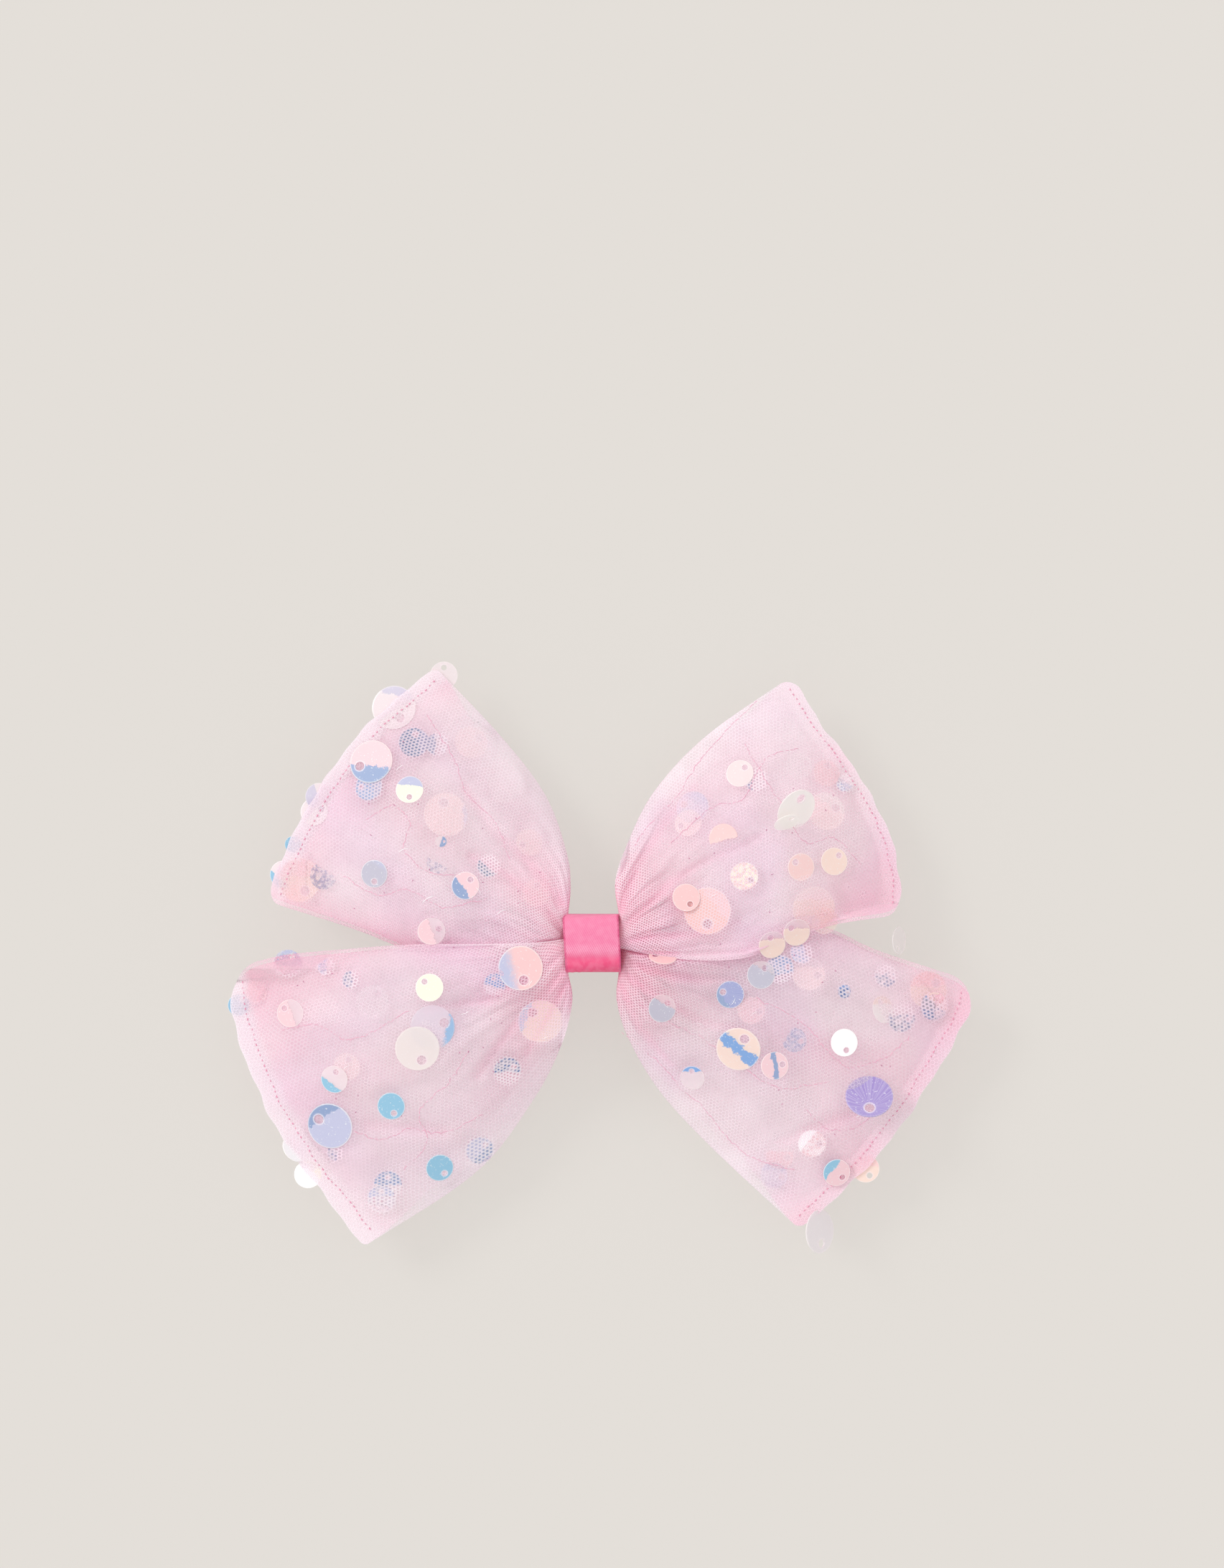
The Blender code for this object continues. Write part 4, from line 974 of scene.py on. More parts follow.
def sequin_blank():
    """A flat round film of diameter 1 with an off-centre hole."""
    angles = np.linspace(0, math.tau, SEQUIN_STEPS, endpoint=False)
    ring = np.column_stack([np.cos(angles), np.sin(angles)])
    rings = []
    for share in RING_SHARES:
        centre = np.array([HOLE_OFFSET * share, 0])
        rings.append(centre + ring * (0.5 + (HOLE_RADIUS - 0.5) * share))
    inwards = range(len(rings))
    points, order = [], []
    for side, steps in ((1, inwards), (-1, reversed(inwards))):
        for step in steps:
            height = side * FILM_THICKNESS / 2 * (EDGE_THICKNESS if step == 0 else 1.0)
            order.append(len(points))
            points += [(*place, height) for place in rings[step]]
    faces = []
    for near, far in zip(order, order[1:] + order[:1]):
        for i in range(SEQUIN_STEPS):
            j = (i + 1) % SEQUIN_STEPS
            faces.append((near + i, near + j, far + j, far + i))
    mesh = bpy.data.meshes.new("sequin_blank")
    mesh.from_pydata(points, [], faces)
    disc = mesh.attributes.new("disc", "FLOAT_VECTOR", "POINT")
    disc.data.foreach_set("vector", np.array(points, np.float32).ravel())
    blank = bpy.data.objects.new("sequin_blank", mesh)
    upright(mesh)
    return blank


blank = sequin_blank()
print("sequin blank:", len(blank.data.polygons), "faces")

# %% [markdown]
# Nearly a hundred sequins and hundreds of stitches are copies of a few shapes.  They could be
# linked objects, but then each would need its own place and material in a list of objects.  A
# Geometry Nodes tree takes a cloud of points instead, and puts a copy of a blank at every point,
# turned and sized by that point's own values, which also carry its tints into the material.  The
# tree ends in real faces, because plain meshes are what other programs can read.

# %% Scatter tree
def new_tree(name, inputs):
    """A modifier tree with a geometry input, the named inputs and a geometry output."""
    tree = bpy.data.node_groups.new(name, "GeometryNodeTree")
    tree.interface.new_socket("Geometry", in_out="INPUT", socket_type="NodeSocketGeometry")
    for label, kind in inputs.items():
        tree.interface.new_socket(label, in_out="INPUT", socket_type=f"NodeSocket{kind}")
    tree.interface.new_socket("Geometry", in_out="OUTPUT", socket_type="NodeSocketGeometry")
    return tree, put(tree, "NodeGroupInput").outputs


def finish_tree(tree, geometry, material):
    """End a tree in real geometry with its material."""
    real = put(tree, "GeometryNodeRealizeInstances", {"Geometry": geometry}).outputs[0]
    dressed = put(tree, "GeometryNodeSetMaterial", {"Geometry": real, "Material": material})
    put(tree, "NodeGroupOutput", {"Geometry": dressed.outputs[0]})


def grow(name, source, tree, values):
    """Run a tree on a mesh and keep the result as a plain mesh piece."""
    guide = bpy.data.objects.new(name + "_guide", source)
    scene.collection.objects.link(guide)
    modifier = guide.modifiers.new("grow", "NODES")
    modifier.node_group = tree
    for socket in tree.interface.items_tree:
        if socket.in_out == "INPUT" and socket.name in values:
            modifier[socket.identifier] = values[socket.name]
    bpy.context.view_layer.update()
    evaluated = guide.evaluated_get(bpy.context.evaluated_depsgraph_get())
    mesh = bpy.data.meshes.new_from_object(evaluated)
    mesh.name = name
    bpy.data.objects.remove(guide)
    piece = bpy.data.objects.new(name, mesh)
    scene.collection.objects.link(piece)
    return piece


def point_cloud(name, places, columns):
    """A mesh of points alone; each column gives every point a number, a vector or a colour."""
    mesh = bpy.data.meshes.new(name)
    mesh.from_pydata(places, [], [])
    kinds = {1: ("FLOAT", "value"), 3: ("FLOAT_VECTOR", "vector"), 4: ("FLOAT_COLOR", "color")}
    for key, column in columns.items():
        values = np.array(column, np.float32).reshape(len(places), -1)
        kind, field = kinds[values.shape[1]]
        mesh.attributes.new(key, kind, "POINT").data.foreach_set(field, values.ravel())
    return mesh


def named(tree, name, kind):
    inputs = {"Name": name}
    return put(tree, "GeometryNodeInputNamedAttribute", inputs, data_type=kind).outputs[0]


def make_scatter_tree():
    tree, given = new_tree("scatter", {"Blank": "Object", "Finish": "Material"})
    shape = put(tree, "GeometryNodeObjectInfo", {"Object": given["Blank"]}).outputs["Geometry"]
    turn = put(tree, "FunctionNodeEulerToRotation", {0: named(tree, "turn", "FLOAT_VECTOR")})
    placed = put(tree, "GeometryNodeInstanceOnPoints", {
        "Points": given["Geometry"], "Instance": shape, "Rotation": turn.outputs[0],
        "Scale": named(tree, "diameter", "FLOAT")}).outputs[0]
    finish_tree(tree, placed, given["Finish"])
    return tree


scatter_tree = make_scatter_tree()
print("scatter tree:", len(scatter_tree.nodes), "nodes")

# %% [markdown]
# The film of a sequin is coated in thin layers that reflect other colours at other angles, and
# it is more or less clear.  A thin-film shader changes colour with the view, so two discs at the
# same angle would always match, while real ones differ from batch to batch.  Each kind of film is
# a plain colour with its own cover instead.  The two tints of a disc and the ragged border between
# them are painted reflection: the blue films are the colour that the film reflects under this
# light, the white and gold films are painted highlights, and the pale films are mostly the film's
# own tint.  A sequin shows two of them, with a ragged border where the reflected light turns.

# %% Films
# colour and cover of each kind of film: blue ones painted reflection, white and gold painted
# highlights
FILMS = {
    "gold": (0.98, 0.96, 0.76, 1.0), "white": (1.00, 1.00, 1.00, 1.0),
    "cream": (0.99, 0.80, 0.71, 0.80), "peach": (0.99, 0.72, 0.70, 0.80),
    "apricot": (1.00, 0.66, 0.66, 0.88), "rose": (0.95, 0.67, 0.71, 0.88),
    "ivory": (0.97, 0.79, 0.79, 0.85), "pearl": (0.94, 0.84, 0.86, 0.55),
    "clear": (0.93, 0.86, 0.87, 0.28), "mint": (1.00, 0.99, 0.95, 0.58),
    "cyan": (0.31, 0.57, 0.75, 0.96), "azure": (0.24, 0.41, 0.74, 0.95),
    "royal": (0.38, 0.41, 0.68, 0.95), "steel": (0.31, 0.40, 0.62, 0.93),
    "slate": (0.60, 0.61, 0.80, 0.90), "grey": (0.60, 0.58, 0.68, 0.88),
    "violet": (0.37, 0.28, 0.62, 0.97), "lilac": (0.76, 0.71, 0.86, 0.60),
    "opal": (0.93, 0.82, 0.84, 0.86), "shell": (0.95, 0.90, 0.86, 0.50),
    "mist": (0.86, 0.81, 0.90, 0.34), "blush": (1.00, 0.80, 0.80, 0.85),
    "ink": (0.21, 0.25, 0.40, 1.0), "unseen": (1.00, 1.00, 1.00, 0.0),
    "coral": (0.98, 0.58, 0.52, 0.92), "sky": (0.36, 0.54, 0.78, 0.92),
    "frost": (0.93, 0.88, 0.90, 0.70),
    "navy": (0.16, 0.24, 0.48, 1.0), "dusk": (0.38, 0.36, 0.52, 1.0),
}
print(len(FILMS), "kinds of film")

# %% [markdown]
# Each sequin is listed by its place, size and look.  Scattering them at random would be shorter,
# but they were sewn on before the net was gathered, so they overlap and bunch as chance wouldn't
# have it.  Those marked "on" are sewn on the outer net, "net" are under it and show as dots
# through its cells, "veiled" are under it where it is thinner, "faint" are inside too but of clear
# film that barely shows, and "edge" hang past the sewn edge.

# %% Sequin list
# x and y in mm, diameter, place, film, film of the patch, direction of the patch, its share,
# direction of the hole, and what else sets it apart: the angle it leans by and the direction
# it leans in, how far in mm it is raised over its neighbour, the width of a patch that is a
# band, how soft the border between the tints is, how bright the painted highlight on the rim is,
# how strong the painted highlights along its streaks are, or how much the patch's tint is
# flecked over the rest
SEQUINS = [
    # upper left lobe
    (-27.0, 48.1, 5, "edge", "pearl", "pearl", 90, 0.0, 90, {}),
    (-36.0, 42.3, 8, "edge", "opal", "lilac", 75, 0.22, 300, {}),
    (-40.0, 32.5, 8, "on", "rose", "steel", 262, 0.40, 200, {}),
    (-33.0, 27.5, 5, "on", "gold", "slate", 80, 0.36, 270, {}),
    (-32.3, 36.0, 5.4, "net", "ink", "dusk", 0, 0.3, 80, {}),
    (-28.2, 35.6, 4, "net", "unseen", "dusk", 180, 0.4, 10, {"flecks": 0.4}),
    (-40.4, 28.0, 5, "net", "steel", "dusk", 0, 0.3, 180, {}),
    (-26.5, 23.0, 8, "faint", "blush", "lilac", 0, 0.10, 100, {}),
    (-27.3, 18.2, 2, "on", "steel", "clear", 160, 0.5, 0, {}),
    (-39.3, 12.4, 5, "on", "grey", "slate", 60, 0.1, 270, {"border": 0.2}),
    (-22.9, 10.3, 5, "on", "rose", "steel", 218, 0.38, 50, {}),
    (-18.8, 13.8, 4, "net", "ink", "unseen", 45, 0.55, 30, {"flecks": 0.4}),
    (-27.9, 14.4, 4, "faint", "dusk", "unseen", 60, 0.5, 30, {"flecks": 0.7, "rim": 0.0}),
    (-48.6, 12.0, 5, "faint", "dusk", "unseen", 60, 0.3, 30, {"flecks": 0.7, "rim": 0.0}),
    (-53.0, 11.2, 8, "faint", "cream", "peach", 90, 0.4, 300, {}),
    (-56.0, 12.2, 5, "edge", "opal", "cyan", 230, 0.30, 60, {}),
    (-54.2, 17.6, 3, "edge", "cyan", "cyan", 0, 0.0, 60, {}),
    (-49.5, 26.2, 5, "edge", "opal", "lilac", 200, 0.5, 20, {}),
    (-50.4, 23.5, 5, "edge", "opal", "opal", 0, 0.0, 20, {}),
    (-22.0, 36.0, 6, "faint", "ivory", "clear", 0, 0.0, 30, {}),
    (-11.5, 18.0, 5, "faint", "ivory", "clear", 0, 0.0, 200, {}),
    (-10.3, 9.0, 5, "faint", "rose", "clear", 0, 0.0, 80, {}),
    (-16.0, 28.0, 6, "faint", "clear", "clear", 0, 0.0, 20, {}),
    (-29.0, 2.1, 5, "on", "clear", "rose", 200, 0.5, 20, {}),
    # upper right lobe
    (26.3, 30.4, 5, "on", "ivory", "ivory", 90, 0.0, 50, {}),
    (29.2, 29.2, 4, "net", "unseen", "dusk", 180, 0.3, 10, {"flecks": 0.3}),
    (17.8, 24.3, 6, "faint", "lilac", "slate", 60, 0.3, 160, {"border": 0.2}),
    (17.0, 21.5, 5, "faint", "ivory", "clear", 0, 0.0, 200, {}),
    (36.3, 23.9, 8, "on", "mint", "mint", 60, 0.0, 75, {"lean": (44, 320)}),
    (34.6, 21.6, 4.8, "on", "mint", "mint", 60, 0.0, 60, {"lean": (60, 290), "raise": 0.6}),
    (41.8, 23.6, 7, "faint", "blush", "shell", 60, 0.3, 20, {}),
    (37.0, 31.8, 5, "faint", "clear", "clear", 60, 0.0, 20, {}),
    (42.0, 30.5, 5, "faint", "rose", "clear", 60, 0.0, 80, {}),
    (45.2, 28.6, 3, "net", "slate", "unseen", 60, 0.4, 80, {"flecks": 0.6}),
    (23.3, 18.8, 5.2, "on", "peach", "unseen", 285, 0.42, 300, {"rim": 0.0}),
    (27.0, 12.0, 5, "veiled", "gold", "apricot", 300, 0.1, 330, {"flecks": 0.8}),
    (37.2, 13.6, 5, "on", "peach", "peach", 90, 0.0, 140, {}),
    (43.2, 14.6, 5, "on", "cream", "cream", 90, 0.0, 50, {}),
    (16.6, 8.2, 5, "on", "apricot", "apricot", 90, 0.0, 300, {"raise": 0.5}),
    (20.4, 5.8, 8.4, "veiled", "coral", "apricot", 40, 0.3, 270, {}),
    (39.5, 6.2, 8, "faint", "cream", "ivory", 90, 0.3, 270, {}),
    (41.5, 4.0, 5, "faint", "cream", "peach", 90, 0.3, 200, {}),
    (36.4, 1.9, 5, "on", "clear", "cream", 270, 0.65, 140, {}),
    (32.0, -0.3, 5, "on", "cream", "clear", 90, 0.3, 105, {}),
    (12.4, -2.4, 5, "veiled", "apricot", "cream", 90, 0.4, 170, {"lean": (60, 85)}),
    (55.0, 0.3, 5, "edge", "clear", "clear", 90, 0.0, 250, {"lean": (60, 0)}),
    # lower left lobe
    (-29.3, -7.9, 5, "on", "gold", "gold", 90, 0.0, 130, {}),
    (-13.0, -4.4, 8, "on", "apricot", "slate", 195, 0.32, 285, {"border": 0.14}),
    (-17.6, -7.3, 4, "net", "azure", "clear", 250, 0.4, 100, {}),
    (-9.5, -14.0, 8, "veiled", "cream", "slate", 160, 0.20, 130, {}),
    (-28.8, -15.0, 8, "on", "mist", "sky", 345, 0.17, 20, {"rim": 0.3}),
    (-31.5, -18.8, 8, "on", "shell", "shell", 250, 0.0, 290, {"rim": 0.3, "raise": 0.35}),
    (-46.5, -24.5, 5, "on", "pearl", "cyan", 235, 0.32, 75, {}),
    (-44.2, -22.2, 5, "faint", "ivory", "clear", 225, 0.0, 75, {}),
    (-36.3, -29.3, 5, "on", "cyan", "cyan", 90, 0.0, 290, {}),
    (-47.4, -33.0, 8.4, "on", "slate", "steel", 125, 0.28, 150, {}),
    (-27.7, -40.6, 5, "on", "cyan", "cyan", 90, 0.0, 310, {}),
    (-37.0, -43.6, 5, "net", "clear", "steel", 90, 0.5, 90, {}),
    (-38.2, -46.2, 5, "net", "unseen", "slate", 90, 0.4, 90, {"flecks": 0.4}),
    (-20.5, -37.5, 5, "net", "slate", "steel", 320, 0.4, 45, {}),
    (-15.5, -23.0, 5, "net", "navy", "unseen", 270, 0.45, 30, {"flecks": 0.5}),
    (-54.5, -12.7, 5, "on", "clear", "rose", 200, 0.55, 140, {}),
    (-51.5, -41.9, 5, "edge", "white", "gold", 40, 0.3, 60, {}),
    (-54.0, -37.4, 5, "edge", "white", "white", 90, 0.0, 60, {"lean": (50, 40)}),
    (-64.0, -11.4, 4, "edge", "cyan", "cyan", 0, 0.0, 60, {}),
    (-54.8, -3.6, 5, "net", "slate", "unseen", 270, 0.4, 60, {"flecks": 0.4}),
    (-48.0, -4.2, 3, "net", "slate", "unseen", 0, 0.4, 60, {"flecks": 0.6}),
    (-43.5, -6.5, 3, "net", "dusk", "unseen", 0, 0.4, 60, {"flecks": 0.6}),
    (-60.8, -9.0, 4, "faint", "ivory", "rose", 0, 0.4, 60, {}),
    (-46.5, -37.9, 3, "net", "dusk", "unseen", 0, 0.4, 60, {"flecks": 0.6}),
    (-39.5, -10.5, 6, "faint", "clear", "rose", 0, 0.0, 60, {}),
    # lower right lobe
    (24.5, -9.2, 5, "on", "royal", "steel", 210, 0.25, 160, {"streaks": 0.5}),
    (30.0, -5.7, 5, "on", "clear", "grey", 250, 0.72, 60, {}),
    (33.4, -4.6, 5, "net", "steel", "unseen", 280, 0.3, 10, {"flecks": 0.4}),
    (12.3, -11.7, 5, "on", "grey", "clear", 60, 0.3, 45, {}),
    (26.0, -19.0, 8, "on", "cream", "azure", 230, 0.62, 60, {"band": 0.24}),
    (32.5, -22.0, 5, "on", "rose", "steel", 190, 0.62, 10, {"band": 0.20}),
    (45.0, -17.9, 5, "on", "white", "white", 90, 0.0, 285, {}),
    (49.5, -27.6, 8.6, "on", "violet", "violet", 200, 0.0, 270,
     {"lean": (34, 90), "streaks": 1, "rim": 0.25}),
    (17.8, -24.3, 4.4, "on", "clear", "azure", 92, 0.22, 95, {}),
    (39.3, -36.2, 5, "veiled", "rose", "white", 140, 0.35, 0, {"flecks": 0.6, "rim": 0.0}),
    (43.8, -41.5, 5, "on", "rose", "cyan", 140, 0.32, 320, {"raise": 0.7}),
    (49.1, -40.9, 5, "edge", "cream", "peach", 90, 0.4, 300, {}),
    (40.8, -52.2, 8, "edge", "frost", "frost", 90, 0.0, 280, {"lean": (50, 0)}),
    (61.3, -11.5, 5, "net", "steel", "peach", 50, 0.4, 300, {}),
    (60.3, -8.6, 7, "faint", "cream", "apricot", 90, 0.4, 40, {}),
    (52.0, -12.0, 5, "faint", "mint", "cream", 90, 0.3, 110, {"lean": (42, 15)}),
    (55.4, -13.6, 5, "net", "dusk", "unseen", 90, 0.4, 350, {"flecks": 0.8}),
    (52.5, -6.0, 4, "net", "dusk", "unseen", 90, 0.4, 350, {"flecks": 0.8}),
    (36.0, -17.4, 4.4, "faint", "steel", "unseen", 150, 0.2, 350, {"flecks": 0.4, "rim": 0.0}),
    (28.3, -12.0, 5, "faint", "rose", "clear", 90, 0.0, 350, {}),
    (37.3, -1.7, 4, "net", "slate", "unseen", 30, 0.3, 350, {"flecks": 0.4}),
    (45.0, -8.7, 2.4, "net", "navy", "azure", 90, 0.3, 350, {}),
    (32.5, -42.0, 5, "faint", "lilac", "slate", 90, 0.3, 350, {}),
    (33.5, -38.5, 5, "faint", "rose", "clear", 90, 0.3, 350, {}),
    (38.5, -5.5, 6, "faint", "ivory", "clear", 90, 0.3, 350, {}),
]
for place in ("on", "net", "veiled", "faint", "edge"):
    print(sum(entry[3] == place for entry in SEQUINS), "sequins", place)

# %% [markdown]
# A sequin is stiffer than tulle, so the tulle lies flat over or under it.  Blender could shrink
# the disc onto the cloth, but then the disc would bend.  So it is the other way round: a plane
# is fitted to the uppermost net near the sequin, the disc lies on that plane, and the net is moved
# onto it, less and less further out.  Where a disc is underneath, the net is also opened a little,
# so that it shows through the cells.

# %% Pressing the tulle flat
STEEPEST_SEQUIN = 0.30
PRESSED = 2.6 * MM                     # how far above or below its sequin tulle is pressed flat
FACES_UP = 0.2                         # least upward part of a normal on a lobe's upper face
FEWEST_POINTS = 8                      # of tulle that a plane is fitted to
PRESS_FADE = 1.7                       # in radii, where the tulle is no longer moved
BARED_FADE = (0.9, 1.15)
NET_BARED = {"net": 1.0, "veiled": 0.6}


def outer_faces():
    """The outer nets' vertices and which of them face up, by band."""
    tables = {}
    for band in BANDS:
        mesh = tulle[f"{band}_tulle"].data
        places = np.empty(len(mesh.vertices) * 3, np.float32)
        mesh.vertices.foreach_get("co", places)
        normals = np.empty(len(mesh.vertices) * 3, np.float32)
        mesh.vertices.foreach_get("normal", normals)
        tables[band] = (places.reshape(-1, 3), normals.reshape(-1, 3)[:, 2] > FACES_UP)
    return tables


def lie_flat(x, y, radius):
    """Height and slopes of a disc on the uppermost tulle near a plan point."""
    near = []
    for places, upward in faces.values():
        close = np.hypot(places[:, 0] - x, places[:, 1] - y) < radius
        near.append(places[close & upward])
    near = np.vstack(near)
    if len(near) < FEWEST_POINTS:
        away = np.vstack([places for places, _ in faces.values()])
        nearest = away[np.argmin(np.hypot(away[:, 0] - x, away[:, 1] - y))]
        return nearest[2], 0.0, 0.0
    near = near[near[:, 2] > np.percentile(near[:, 2], 95) - PRESSED]
    table = np.column_stack([near[:, 0] - x, near[:, 1] - y, np.ones(len(near))])
    slope_x, slope_y, level = np.linalg.lstsq(table, near[:, 2], rcond=None)[0]
    slopes = np.clip([slope_x, slope_y], -STEEPEST_SEQUIN, STEEPEST_SEQUIN)
    level = (near[:, 2] - table[:, :2] @ slopes).mean()
    return level, *slopes


def press_flat(x, y, radius, level, slope_x, slope_y, bare):
    """Move the tulle near a disc onto its plane, and bare its net where the disc is underneath."""
    for band, (places, _) in faces.items():
        away = np.hypot(places[:, 0] - x, places[:, 1] - y)
        over = 1 - smoothstep(radius * BARED_FADE[0], radius * BARED_FADE[1], away)
        plane = level + slope_x * (places[:, 0] - x) + slope_y * (places[:, 1] - y)
        held = 1 - smoothstep(radius, radius * PRESS_FADE, away)
        held = held * (abs(places[:, 2] - plane) < PRESSED)
        places[:, 2] += held * (plane - places[:, 2])
        bared[band] = np.maximum(bared[band], bare * over)


faces = outer_faces()
bared = {}
for band in BANDS:
    bare = tulle[f"{band}_tulle"].data.attributes["bare"]
    bared[band] = np.empty(len(bare.data), np.float32)
    bare.data.foreach_get("value", bared[band])
print({band: int(upward.sum()) for band, (_, upward) in faces.items()}, "points of net face up")

# %% [markdown]
# The cloud of points is a mesh with no faces, and each of its points carries a sequin's place,
# turn, size, films and border as named values.  Each sequin could be an object with a material
# of its own, but then a change of finish is made ninety-six times.  One material that reads its
# tints from the points is changed once.

# %% Cloud of sequins
# how far above the plane of the tulle a sequin lies, by its place
LIFTS = {"on": 0.08 * MM, "net": -0.16 * MM, "veiled": -0.16 * MM, "faint": -0.30 * MM,
         "edge": -0.60 * MM}
COVERS = {"on": 1.0, "net": 1.0, "veiled": 1.0, "faint": 0.42, "edge": 1.0}
# how strong the painted highlight on a sequin's rim is, by its place
RIM_HIGHLIGHT_BY_PLACE = {"on": 1.0, "net": 0.1, "veiled": 0.7, "faint": 0.5, "edge": 1.0}
NO_BAND = 9.0                          # wider than any sequin, so that the patch has one border
BORDER = 0.008                         # half the width of the line between the two tints
LEAN_LIFT = 0.48                       # raises a leaning sequin until its lower edge touches


def sequin_points(entries):
    """A cloud of points that carries each sequin's place, turn, size and tints."""
    rows = []
    for x, y, size, place, film, patch, patch_angle, patch_share, hole, extras in entries:
        x, y, size = x * MM, y * MM, size * MM
        level, slope_x, slope_y = lie_flat(x, y, size / 2)
        if place != "edge" and "lean" not in extras:
            press_flat(x, y, size / 2, level, slope_x, slope_y, NET_BARED.get(place, 0.0))
        normal = Vector((-slope_x, -slope_y, 1)).normalized()
        level += extras.get("raise", 0.0) * MM
        if "lean" in extras:
            lean, toward = (math.radians(angle) for angle in extras["lean"])
            normal = Vector((math.sin(lean) * math.cos(toward), math.sin(lean) * math.sin(toward),
                             math.cos(lean)))
            level += LEAN_LIFT * size * math.sin(lean) * (place == "on")
        spin = Matrix.Rotation(math.radians(hole), 3, "Z")
        turn = Vector((0, 0, 1)).rotation_difference(normal).to_matrix() @ spin
        facing = math.radians(patch_angle - hole)
        rows.append({
            "place": (x, y, level + LIFTS[place]),
            "turn": tuple(turn.to_euler()),
            "diameter": size,
            "film": FILMS[film],
            "patch": FILMS[patch],
            "cut": (math.cos(facing), math.sin(facing), 0.5 - patch_share),
            "band": extras.get("band", NO_BAND),
            "streaks": extras.get("streaks", 0.0),
            "border": extras.get("border", BORDER),
            "rim": extras.get("rim", RIM_HIGHLIGHT_BY_PLACE[place]),
            "flecks": extras.get("flecks", 0.0),
            "strength": COVERS[place],
        })
    places = [row.pop("place") for row in rows]
    return point_cloud("sequin_points", places,
                       {key: [row[key] for row in rows] for key in rows[0]})


print("the largest sequin is", max(entry[2] for entry in SEQUINS), "mm across")

# %% [markdown]
# The pearly material reads the point's values and the disc's own coordinates.  A picture could
# be painted for each disc, but a rule covers all: measured along the patch's direction and made
# uneven by noise, a place is on one side of the border or the other.  Fine rays run out from the
# hole as painted highlights, the punched rims and the rim of the hole get a painted highlight,
# and a few specks sparkle as painted glints.

# %% Material of the sequins
RAGGED_SCALE = 800.0                   # noise scales are per metre
RAGGED_BORDER = 0.42                   # how far the border strays, in diameters
FLECK_SCALE = 1500.0
SPARKLE_SCALE = 3200.0
RAYS_ROUND = 7.0                       # rays per radian round the hole
RIM_EDGE = (0.462, 0.49)               # radii in diameters where the bright rim begins, is full
HOLE_EDGE = (0.115, 0.15)              # and where the one round the hole is full, ends
# colours of painted highlights: rays from the hole, the rim, and the rim of the hole
RAY_HIGHLIGHT = (1, 0.95, 1, 1)
RIM_HIGHLIGHT = (1.0, 0.95, 0.93, 1)
HOLE_HIGHLIGHT = (1.0, 0.90, 0.94, 1)


